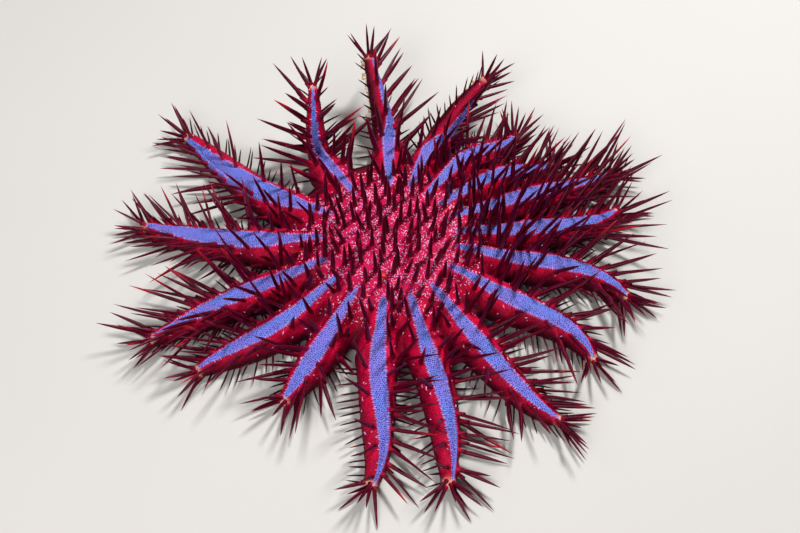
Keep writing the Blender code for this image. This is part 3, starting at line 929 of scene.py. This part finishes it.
class Finish:
    """A procedural material and short calls that wire it. Patterns lie on object coordinates in metres."""

    def __init__(self, name, **sockets):
        self.material = bpy.data.materials.new(name)
        self.material.use_nodes = True
        self.tree = self.material.node_tree
        self.shader = self.tree.nodes["Principled BSDF"]
        for socket, value in sockets.items():
            self.shader.inputs[socket.replace("_", " ")].default_value = value
        self.place = self.tree.nodes.new("ShaderNodeTexCoord").outputs["Object"]

    def feed(self, socket, value):
        if isinstance(value, (int, float)):
            socket.default_value = value
        elif isinstance(value, tuple):
            socket.default_value = (*value, 1.0)
        else:
            self.tree.links.new(value, socket)

    def node(self, kind, inputs, output=0, **settings):
        """The output of a new node with these settings, its inputs fed by name or by place."""
        made = self.tree.nodes.new("ShaderNode" + kind)
        for key, value in settings.items():
            setattr(made, key, value)
        for key, value in inputs.items():
            self.feed(made.inputs[key], value)
        return made.outputs[output]

    def attribute(self, name):
        return self.node("Attribute", {}, "Fac", attribute_name=name)

    def noise(self, size, detail=2.0, roughness=0.5):
        """Noise from 0 to 1 whose lumps are about size metres apart."""
        settings = {"Vector": self.place, "Scale": 1.0 / size, "Detail": detail, "Roughness": roughness}
        return self.node("TexNoise", settings, "Fac")

    def cells(self, size):
        return self.node("TexVoronoi", {"Vector": self.place, "Scale": 1.0 / size}, "Distance")

    def maths(self, operation, *values):
        return self.node("Math", dict(enumerate(values)), operation=operation)

    def times(self, a, b):
        return self.maths("MULTIPLY", a, b)

    def span(self, value, *spans):
        """The value rescaled smoothly, from its low and high to another two, or to 0 and 1."""
        return self.node("MapRange", dict(enumerate((value, *spans))), interpolation_type="SMOOTHSTEP")

    def mix(self, share, a, b):
        return self.node("Mix", {0: share, 6: a, 7: b}, 2, data_type="RGBA")

    def shades(self, value, *stops):
        colours = self.node("ValToRGB", {0: value})
        marks = colours.node.color_ramp.elements
        while len(marks) < len(stops):
            marks.new(0.5)
        for mark, (position, colour) in zip(marks, stops):
            mark.position = position
            mark.color = (*colour, 1.0)
        return colours

    def bump(self, height, strength, distance):
        bumps = self.node("Bump", {"Strength": strength, "Distance": distance, "Height": height})
        self.feed(self.shader.inputs["Normal"], bumps)

    def colour(self, value):
        self.feed(self.shader.inputs["Base Color"], value)

    def rough(self, value):
        self.feed(self.shader.inputs["Roughness"], value)


CRIMSON = (0.78, 0.0, 0.050)
MAGENTA = (0.66, 0.002, 0.100)
DEEP_CRIMSON = (0.36, 0.0, 0.026)
MAROON = (0.045, 0.0, 0.008)
VIOLET_BLUE = (0.170, 0.155, 0.58)
SKY_VIOLET = (0.122, 0.175, 0.62)
PLUM = (0.07, 0.035, 0.26)
CREAM = (0.72, 0.50, 0.36)
BRICK = (0.42, 0.16, 0.14)
PALE_TIP = (0.70, 0.58, 0.30)
ROSY_TIP = (0.80, 0.40, 0.34)
ROOT_RED = (0.30, 0.0, 0.030)
# A painted highlight: the red the spines' ridges take for light catching their edges
RIDGE_HIGHLIGHT_RED = (0.24, 0.001, 0.030)
POINT_RED = (0.50, 0.006, 0.016)


def skin_finish():
    """Granular crimson skin, painted darker down the flanks as shade, pale on the sole, with the violet-blue
    stripes.
    """
    f = Finish("granular_skin", Specular_IOR_Level=0.10)
    red = f.mix(f.span(f.noise(0.0075, 3.0), 0.30, 0.62), DEEP_CRIMSON, CRIMSON)
    red = f.mix(f.attribute("crown"), red, MAGENTA)
    red = f.mix(f.times(f.attribute("outer"), 0.55), red, DEEP_CRIMSON)
    grain = f.span(f.cells(0.00115), 0.15, 0.65)
    red = f.mix(f.times(grain, 0.45), red, MAROON)
    # Painted shade: low on the flanks the skin fades to maroon, as if in the shade between the arms
    ragged = f.maths("MULTIPLY_ADD", f.noise(0.008, 2.0), 0.3, f.maths("ADD", f.attribute("above"), -0.15))
    red = f.mix(f.span(ragged, 0.30, 0.84), MAROON, red)
    sole = f.mix(f.noise(0.004, 3.0), CREAM, BRICK)
    red = f.mix(f.span(f.attribute("under"), 0.35, 0.8), red, sole)
    blue = f.mix(f.span(f.noise(0.016, 2.0), 0.35, 0.65), VIOLET_BLUE, SKY_VIOLET)
    blue = f.mix(f.times(f.span(f.cells(0.0009), 0.40, 0.12), 0.25), blue, PLUM)
    # The stripe's border runs in and out like the teeth of a comb
    teeth = f.maths("SINE", f.times(f.attribute("along_mm"), 2.0 * math.pi / TOOTH_PITCH_MM))
    border = f.maths("ADD", f.attribute("stripe"), -0.75)
    edge = f.maths("MULTIPLY_ADD", f.noise(0.0016, 2.0, 0.6), 1.5, border)
    edge = f.maths("MULTIPLY_ADD", teeth, f.attribute("comb"), edge)
    body = f.mix(f.span(edge, -0.22, 0.22), red, blue)
    f.colour(f.mix(f.attribute("tip"), body, f.mix(f.noise(0.0015, 2.0), PALE_TIP, ROSY_TIP)))
    f.rough(f.span(f.noise(0.002, 2.0), 0.3, 0.7, 0.42, 0.62))
    lumps = f.maths("MULTIPLY_ADD", f.noise(0.0022, 3.0), 0.6, f.span(f.cells(0.0011), 0.6, 0.0))
    f.bump(lumps, 0.65, 0.00035)
    return f.material


def horn_finish():
    """Near-black maroon horn: redder at the root, with a painted red highlight on the ridges, and a bright
    red point on some.
    """
    f = Finish("maroon_spines", Coat_Weight=0.02, Coat_Roughness=0.25, Specular_IOR_Level=0.13)
    along = f.attribute("along")
    horn = f.shades(
        f.maths("MULTIPLY_ADD", f.noise(0.004, 2.0), 0.14, f.maths("ADD", along, -0.07)),
        (0.0, ROOT_RED),
        (0.14, (0.100, 0.0, 0.014)),
        (0.30, (0.023, 0.0, 0.006)),
        (0.80, (0.022, 0.0, 0.006)),
        (1.0, (0.070, 0.0, 0.010)),
    )
    # Painted highlight: the ridges are coloured redder, for light catching the spines' edges
    horn = f.mix(f.times(f.attribute("ridge"), 0.5), horn, RIDGE_HIGHLIGHT_RED)
    reddish = f.times(f.span(f.attribute("shade"), 0.80, 0.98), f.span(along, 0.52, 0.82))
    f.colour(f.mix(f.times(reddish, 0.65), horn, POINT_RED))
    f.rough(f.span(f.noise(0.0016, 2.0), 0.3, 0.7, 0.26, 0.46))
    f.bump(f.noise(0.0007, 2.0), 0.35, 0.00012)
    return f.material


def sleeve_finish():
    """The skin that climbs the foot of a spine, granular like the rest and darker as it ends."""
    f = Finish("spine_sleeves", Roughness=0.5, Specular_IOR_Level=0.10)
    red = f.mix(f.attribute("shade"), DEEP_CRIMSON, CRIMSON)
    red = f.mix(f.times(f.span(f.cells(0.0008), 0.1, 0.6), 0.7), red, MAROON)
    f.colour(f.mix(f.span(f.attribute("along"), 0.30, 1.0), red, MAROON))
    f.bump(f.span(f.cells(0.0008), 0.6, 0.0), 0.6, 0.0002)
    return f.material


def granule_finish(name, *shades, roughness=0.45, foot=0.55):
    """Small fleshy beads: each copy takes one of a few shades, and is darker by this share at its foot, a
    painted shade where it meets the skin.
    """
    f = Finish(name, Roughness=roughness, Specular_IOR_Level=0.12)
    step = 1.0 / max(len(shades) - 1, 1)
    bead = f.shades(f.attribute("shade"), *[(k * step, shade) for k, shade in enumerate(shades)])
    # Painted shade: maroon at the bead's foot, where it meets the skin
    f.colour(f.mix(f.span(f.attribute("along"), 0.9, 0.1, 0.0, foot), bead, MAROON))
    f.bump(f.noise(0.0005, 2.0), 0.3, 0.0001)
    return f.material


def mouth_finish():
    f = Finish("mouth_film", Roughness=0.35, Coat_Weight=0.4, Coat_Roughness=0.2)
    flesh = f.mix(f.span(f.noise(0.0018, 3.0), 0.3, 0.7), (0.62, 0.36, 0.28), (0.45, 0.14, 0.12))
    f.colour(f.mix(f.span(f.cells(0.0012), 0.1, 0.6, 0.0, 0.4), flesh, (0.30, 0.08, 0.08)))
    f.bump(f.noise(0.0010, 3.0), 0.5, 0.0003)
    return f.material


def floor_finish():
    f = Finish("pale_floor", Roughness=0.75)
    f.colour(f.mix(f.noise(0.35, 3.0), (0.46, 0.45, 0.437), (0.50, 0.49, 0.477)))
    return f.material


# Work on the finished skin

def surface_of(obj):
    return BVHTree.FromObject(obj, bpy.context.evaluated_depsgraph_get())


def on_skin(points):
    """The places on the skin nearest to these points, and its normals there."""
    found = [surface.find_nearest(point) for point in points]
    return np.array([place for place, _, _, _ in found]), np.array([normal for _, normal, _, _ in found])


def planted(spines):
    """The spines' places on the skin, its normals there, and the spines' directions, radii and lengths."""
    roots, directions, _, lengths, radii = (np.array(values) for values in zip(*spines))
    return *on_skin(roots), directions, radii, lengths


def clear_of_spines(points, gap):
    """Which points keep this far from the root of every long spine."""
    return np.array([root_tree.find(point)[2] > gap for point in points])


def spots_on_skin(spacing):
    """Points scattered over the skin about this far apart, with the skin's normals there."""
    mesh = skin.data
    mesh.calc_loop_triangles()
    corners = np.empty(len(mesh.loop_triangles) * 3, np.int32)
    mesh.loop_triangles.foreach_get("vertices", corners)
    corners = corners.reshape(-1, 3)
    places, normals = places_of(mesh), normals_of(mesh)
    a, b, c = (places[corners[:, k]] for k in range(3))
    areas = np.linalg.norm(np.cross(b - a, c - a), axis=1) / 2.0
    count = int(4.0 * areas.sum() / spacing**2)
    faces = draw.choice(len(areas), count, p=areas / areas.sum())
    u, v = draw.uniform(size=(2, count))
    flip = u + v > 1.0
    u, v = np.where(flip, 1.0 - u, u), np.where(flip, 1.0 - v, v)
    weights = column(np.stack((1.0 - u - v, u, v), axis=1))
    points = (places[corners[faces]] * weights).sum(axis=1)
    facing = unit((normals[corners[faces]] * weights).sum(axis=1))
    # One point a cell, by a key that no two cells share, and then none that crowds an earlier one
    cells = np.floor(points / (spacing * 1.16)).astype(np.int64)
    _, first = np.unique(cells @ np.array((1, 5_003, 25_030_009)), return_index=True)
    points, facing = points[first], facing[first]
    tree = tree_of(points)
    kept = np.ones(len(points), bool)
    for k, point in enumerate(points):
        if kept[k]:
            for _, other, _ in tree.find_range(point, 0.62 * spacing):
                if other > k:
                    kept[other] = False
    return points[kept], facing[kept]


def swell_skin():
    """The skin rises in a low mound round each spine, and is faintly uneven all over."""
    places = places_of(skin.data)
    gaps = np.array([root_tree.find(place)[2] for place in places])
    swell = MOUND_HEIGHT * np.exp(-((gaps / MOUND_RADIUS) ** 2))
    swell += UNEVEN_HEIGHT * np.array([noise.noise(Vector(place) / UNEVEN_SIZE) for place in places])
    swell *= ramp(places[:, 2], 0.0, 0.004)
    place_vertices(skin.data, places + normals_of(skin.data) * column(swell))
    bpy.context.view_layer.update()


def mark_skin():
    """Writes where each point of the skin lies, for its finish."""
    lie = Lie(places_of(skin.data))
    marks = {
        "stripe": lie.stripe * MM,
        "along_mm": lie.along * MM,
        "comb": TOOTH_DEPTH * (1.0 - ramp(lie.s, *TOOTH_LOSS)),
        # above holds the painted shade of the flanks, not only the height over the sole
        "above": lie.lit,
        "under": lie.under(normals_of(skin.data)),
        "crown": ramp(lie.disc_radius, *CROWN_BAND),
        "outer": ramp(lie.disc_radius, *OUTER_BAND),
        "tip": ramp(lie.s, *TIP_PALING) * 0.85,
    }
    for name, values in marks.items():
        point_attribute(skin.data, name, values)
    skin.data.shade_smooth()


def long_spines(horn):
    """The long spines in two pieces, and the sleeves of skin round their feet."""
    steps = ((-0.06, 0.80), (0.06, 1.0), (0.34, 0.98), (0.62, 0.78), (0.84, 0.42), (1.0, 0.0))
    spine = drawn_up(8, *steps, ridge=0.12)
    sleeve = drawn_up(10, (-0.35, 1.62), (0.05, 1.45), (0.35, 1.16), (1.0, 0.97), (1.04, 0.0))
    for k, part in enumerate(np.array_split(np.arange(len(roots)), 2)):
        where = roots[part], directions[part], radii[part], lengths[part]
        copies(f"long_spines_{k + 1}", spine, horn, *where, bend=0.07, ridged=spine.ridges())
    ways = unit(directions * 0.7 + facings * 0.3)
    copies("spine_sleeves", sleeve, sleeve_finish(), roots, ways, radii, lengths * 0.17)


def comb_spines(horn):
    """The comb of thin spines along each arm's lower edge."""
    combs = []
    for shape in SHAPES:
        for spine in row_spines(shape, COMB_ROW):
            tip = spine.root + spine.direction * spine.length
            if spine.root[2] > COMB_ROOT_HEIGHT and tip[2] > FLOOR_CLEARANCE:
                combs.append(spine)
    places, _, *sizes = planted(combs)
    copies("comb_spines", comb, horn, places, *sizes, bend=0.08, ridged=np.zeros(len(comb.points)))


def stripe_dots():
    """The dark dots of the stripes, in staggered rows across them."""
    columns = np.arange(-DOTS_BESIDE, DOTS_BESIDE + 1)
    found = []
    for shape in SHAPES:
        first = shape.place_of(STRIPE_START + 0.004)
        rows = int((DOTS_END - first) * shape.arm.length / (DOT_ROW_SHARE * DOT_PITCH))
        for k in range(rows):
            s = first + (DOTS_END - first) * (k + jitter(DOT_JITTER, len(columns))) / rows
            across = (columns + 0.5 * (k % 2) + jitter(DOT_JITTER, len(columns))) * DOT_PITCH
            held = np.abs(across) < shape.stripe_half_width(s) - 0.0003
            s = s[held]
            found.append(shape.over_crest(s, across[held] + shape.stripe_middle(s)))
    spots, facing = on_skin(np.concatenate(found))
    held = clear_of_spines(spots, DOT_GAP)
    shades = (0.012, 0.008, 0.085), (0.022, 0.016, 0.14), (0.016, 0.006, 0.06)
    finish = granule_finish("dark_dots", *shades, foot=0.0)
    dot_shape = drawn_up(6, (-0.25, 1.0), (1.0, 0.0))
    sizes = (0.00040, 0.00062), (0.00012, 0.00022)
    copies("stripe_dots", dot_shape, finish, spots[held], facing[held], *sizes)


def red_papulae():
    """The red papulae that crowd the skin between the stripes, painted darker down the flanks as shade, and
    darker outwards.
    """
    spots, facing = spots_on_skin(0.00084)
    lie = Lie(spots)
    held = clear_of_spines(spots, PAPULA_GAP) & (lie.stripe <= -0.0004) & (lie.above > 0.16)
    held &= (facing[:, 2] > -0.5) & ~lie.in_hollow
    spots, facing = spots[held], facing[held]
    # Painted shade: papulae low on the flanks take darker shades
    tone_and_painted_shade = draw.uniform(0.3, 1.0, len(spots)) * ramp(lie.lit[held], 0.28, 0.50)
    tone_and_painted_shade *= 1.0 - 0.34 * ramp(lie.disc_radius[held], *OUTER_BAND)
    deep = (0.06, 0.0, 0.010), (0.26, 0.0, 0.025), (0.58, 0.0, 0.045)
    bright = (0.84, 0.005, 0.080), (0.84, 0.03, 0.17)
    finish = granule_finish("red_papulae", *deep, *bright)
    cone = drawn_up(5, (-0.4, 1.0), (1.0, 0.0))
    sizes = (0.00030, 0.00052), (0.00025, 0.00060)
    for k, part in enumerate(np.array_split(np.arange(len(spots)), 3)):
        where = spots[part], facing[part]
        copies(f"red_papulae_{k + 1}", cone, finish, *where, *sizes, shades=tone_and_painted_shade[part])


def pale_specks():
    """Pale specks, short and curled, thick at the middle of the disc."""
    spots, facing = spots_on_skin(0.00135)
    lie = Lie(spots)
    crowding = np.array([noise.noise(Vector(spot) / 0.0060) for spot in spots])
    chance = blend(0.026, 0.66, ramp(lie.disc_radius, *SPECK_BAND)) * (1.0 + 0.9 * crowding)
    chance *= lie.above > 0.6
    held = (draw.uniform(size=len(spots)) < chance) & (lie.stripe < -0.0002)
    held &= (facing[:, 2] > 0.2) & clear_of_spines(spots, SPECK_GAP)
    shades = (0.84, 0.30, 0.62), (0.76, 0.54, 0.92), (0.90, 0.80, 0.97), (0.62, 0.42, 0.90)
    finish = granule_finish("lilac_specks", *shades, foot=0.1)
    worm = drawn_up(8, (-0.4, 1.0), (1.0, 0.0))
    sizes = (0.00026, 0.00040), (0.0005, 0.0009), (1.4, 5.4), (-2.4, 2.4)
    copies("pale_specks", worm, finish, spots[held], facing[held], *sizes)


def stripe_teeth():
    """The lace of teeth along both borders of each stripe, thinner towards the tip."""
    points, ways, losses = [], [], []
    for shape in SHAPES:
        first = shape.place_of(STRIPE_START + 0.003)
        count = int((TEETH_END - first) * shape.arm.length / TOOTH_PITCH)
        for hand in HANDS:
            s = first + (TEETH_END - first) * (np.arange(count) + jitter(0.3, count)) / count
            edge = shape.stripe_half_width(s) + draw.uniform(0.0001, 0.0006, count)
            points.append(shape.over_crest(s, shape.stripe_middle(s) + hand * edge))
            ways.append(shape.frame(s)[1] * hand)
            losses.append(MOST_TEETH_LOST * ramp(s, *TOOTH_LOSS))
    spots, facing = on_skin(np.concatenate(points))
    spots = spots + facing * 0.0001
    held = clear_of_spines(spots, TOOTH_GAP) & (draw.uniform(size=len(spots)) > np.concatenate(losses))
    shades = (0.20, 0.18, 0.64), (0.26, 0.24, 0.70), (0.40, 0.22, 0.62), (0.46, 0.36, 0.74)
    finish = granule_finish("stripe_teeth", *shades, foot=0.1)
    bead = drawn_up(5, (-0.4, 1.0), (0.45, 0.82), (1.0, 0.0))
    sizes = (0.00034, 0.00048), (0.00040, 0.0007), (2.0, 3.6)
    across = np.concatenate(ways)[held]
    copies("stripe_teeth", bead, finish, spots[held], facing[held], *sizes, across=across)


def set_down(roots, ways, lengths, gap, least, girth, thinnest, thickest):
    """Those that are still longer than the least once cut to the room over the floor, and how thick."""
    room = np.maximum(roots[:, 2] - gap, 0.0) / np.maximum(-ways[:, 2], 1e-3)
    lengths = np.minimum(lengths, room)
    kept = lengths > least
    lengths = lengths[kept]
    return roots[kept], ways[kept], np.clip(lengths * girth, thinnest, thickest), lengths


def grooves():
    """Tube feet in the grooves, and the short spines that fold over them."""
    feet, folds = [], []
    for shape in SHAPES:
        stations = np.arange(shape.first * 0.78, 0.97, 0.0021 / shape.arm.length)
        count = len(stations)
        for hand in HANDS:
            s = stations + jitter(0.003, count)
            out = np.clip(s, 0.0, 1.0)
            middle, side, up, forward = shape.frame(s)
            wide, high = shape.half_width(s), shape.height(s)

            root = middle + side * column(hand * 0.13 * wide) - up * column(0.34 * high)
            reach = draw.uniform(0.0045, 0.0085, count) * blend(1.0, 0.6, out)
            splay = side * column(hand * draw.uniform(0.0, 0.5, count))
            way = unit(-up + splay + forward * column(draw.uniform(-0.3, 0.5, count)))
            feet.append(set_down(root, way, reach, 0.0005, 0.0012, 0.16, 0.0003, 0.00075))

            root = middle + side * column(hand * 0.34 * wide) - up * column(0.47 * high)
            way = unit(-up * 0.6 - side * (0.55 * hand) + forward * column(jitter(0.2, count)))
            reach = draw.uniform(0.0030, 0.0045, count) * blend(1.0, 0.55, out)
            folds.append(set_down(root, way, reach, 0.0004, 0.0010, 0.13, 0.0002, 0.0005))
    steps = ((-0.1, 1.0), (0.35, 0.72), (0.80, 0.62), (0.86, 1.25), (0.97, 1.30), (1.0, 0.6), (0.96, 0.0))
    foot = drawn_up(7, *steps)
    fleshy = granule_finish(
        "tube_feet", (0.72, 0.48, 0.28), (0.80, 0.62, 0.40), (0.62, 0.22, 0.16), roughness=0.3
    )
    horny = granule_finish("groove_spines", (0.62, 0.34, 0.26), (0.50, 0.12, 0.12), (0.75, 0.52, 0.40))
    copies("tube_feet", foot, fleshy, *(np.concatenate(rows) for rows in zip(*feet)), bend=0.22)
    copies("groove_spines", comb, horny, *(np.concatenate(rows) for rows in zip(*folds)), bend=0.1)


def mouth_film():
    """The film round the mouth: a dished round with radial folds, set in the hollow of the sole."""
    film, ball = sphere(60, 28)
    film.name = "film_of_mouth"
    turn = np.arctan2(ball[:, 1], ball[:, 0])
    reach = np.hypot(ball[:, 0], ball[:, 1])
    top = MOUTH_DEPTH - 0.0001
    dish = 0.0034 * np.sin(np.clip(reach, 0.0, 1.0) * math.pi) ** 0.8 + 0.0012
    folds = 0.00035 * np.cos(turn * 15.0) * np.sin(reach * math.pi)
    lower = top - np.maximum(dish + folds, 0.0006) * (1.0 - 0.5 * reach**8)
    ball[:, :2] *= MOUTH_ROOF_RADIUS * 0.97
    ball[:, 2] = np.where(ball[:, 2] < 0.0, lower, top)
    place_vertices(film.data, HUB + ball)
    film.data.shade_smooth()
    dress(film, mouth_finish(), "mouth_film", "mouth_film")


def mouth_spines():
    """Small spines that point in over the mouth, three at each corner between the grooves."""
    around = np.repeat([arm.azimuth + 10.5 for arm in ARMS], 3) + np.tile((-3.5, 0.0, 3.5), len(ARMS))
    places = HUB + level(around) * 0.0132 + UP * 0.0022
    ways = -level(around + jitter(12, len(around))) - UP * 0.12
    finish = granule_finish("mouth_spines", (0.66, 0.40, 0.30), (0.55, 0.20, 0.16))
    copies("mouth_spines", comb, finish, places, ways, 0.00055, (0.0045, 0.0062))


def madreporites():
    """The sieve plates: small orange-red buttons near the middle of the disc, by azimuth and radius."""
    places = ((200.0, 0.0290), (335.0, 0.0300), (263.0, 0.0300))
    steps = ((-0.3, 1.0), (0.55, 1.0), (0.85, 0.82), (1.0, 0.45), (0.92, 0.0))
    button = drawn_up(14, *steps)
    spots, facing = on_skin([HUB + level(azimuth) * radius + UP * 0.03 for azimuth, radius in places])
    finish = granule_finish("madreporites", (0.82, 0.09, 0.025), (0.80, 0.05, 0.02))
    copies("madreporites", button, finish, spots, facing, 0.0015, 0.0010)


skin = fleshy_body()
surface = surface_of(skin)
roots, facings, directions, radii, lengths = planted(settled_spines())
root_tree = tree_of(roots)
swell_skin()
surface = surface_of(skin)
mark_skin()
dress(skin, skin_finish(), "skin", "central_disc", *[f"arm_{k + 1:02d}" for k in range(len(ARMS))])

maroon_horn = horn_finish()
comb = drawn_up(5, (-0.08, 1.0), (0.30, 1.0), (0.75, 0.62), (1.0, 0.0))
long_spines(maroon_horn)
comb_spines(maroon_horn)
stripe_dots()
red_papulae()
pale_specks()
stripe_teeth()
grooves()
mouth_film()
mouth_spines()
madreporites()

bpy.ops.mesh.primitive_plane_add(size=24.0, location=(0.0, 0.0, 0.0))
floor = bpy.context.object
floor.name = "floor"
floor.data.materials.append(floor_finish())


def soft_light(name, location, target, size, power, colour):
    bpy.ops.object.light_add(type="AREA", location=location)
    lamp = bpy.context.object
    lamp.name = name
    lamp.data.shape = "DISK"
    lamp.data.size = size
    lamp.data.energy = power
    lamp.data.color = colour
    lamp.rotation_euler = (Vector(target) - Vector(location)).to_track_quat("-Z", "Y").to_euler()


soft_light("key_light", (0.50, 0.60, 1.20), (0, 0, 0.02), 0.26, 25.0, (1.0, 0.98, 0.95))
soft_light("fill_light", (-0.45, -0.82, 0.95), (0, 0, 0.02), 0.80, 13.0, (1.0, 0.98, 0.98))
soft_light("side_light", (-1.0, 0.25, 0.80), (0, 0, 0.03), 0.70, 2.5, (1.0, 1.0, 1.0))

world = bpy.context.scene.world or bpy.data.worlds.new("studio")
bpy.context.scene.world = world
world.use_nodes = True
world.node_tree.nodes["Background"].inputs["Color"].default_value = (0.92, 0.92, 0.93, 1.0)
world.node_tree.nodes["Background"].inputs["Strength"].default_value = 0.14

# The camera looks down on the animal: it tilts by this angle, with a point over the hub at one pixel
TILT = math.radians(58.0)
DISTANCE = 0.68
PIXELS_A_METRE = 1.0 / 0.00066
AIM = np.array((0.0, 0.0, 0.027)) + HUB
AIM_PIXEL = (390.0, 238.0)
FRAME = (800, 533)
SENSOR = 36.0


def photo_camera():
    reach = DISTANCE * PIXELS_A_METRE
    ahead = np.array((0.0, math.cos(TILT), -math.sin(TILT)))
    right = np.array((1.0, 0.0, 0.0))
    above = np.cross(right, ahead)
    across, down = (pixel - edge / 2 for pixel, edge in zip(AIM_PIXEL, FRAME))
    ray = ahead + right * across / reach - above * down / reach
    bpy.ops.object.camera_add(location=AIM - ray * DISTANCE)
    camera = bpy.context.object
    camera.name = "photo_camera"
    camera.rotation_euler = Vector(ahead).to_track_quat("-Z", "Y").to_euler()
    camera.data.sensor_width = SENSOR
    camera.data.lens = SENSOR * reach / FRAME[0]
    bpy.context.scene.camera = camera
    bpy.context.scene.view_settings.view_transform = "Standard"


photo_camera()
bpy.ops.object.select_all(action="DESELECT")

bpy.context.view_layer.update()
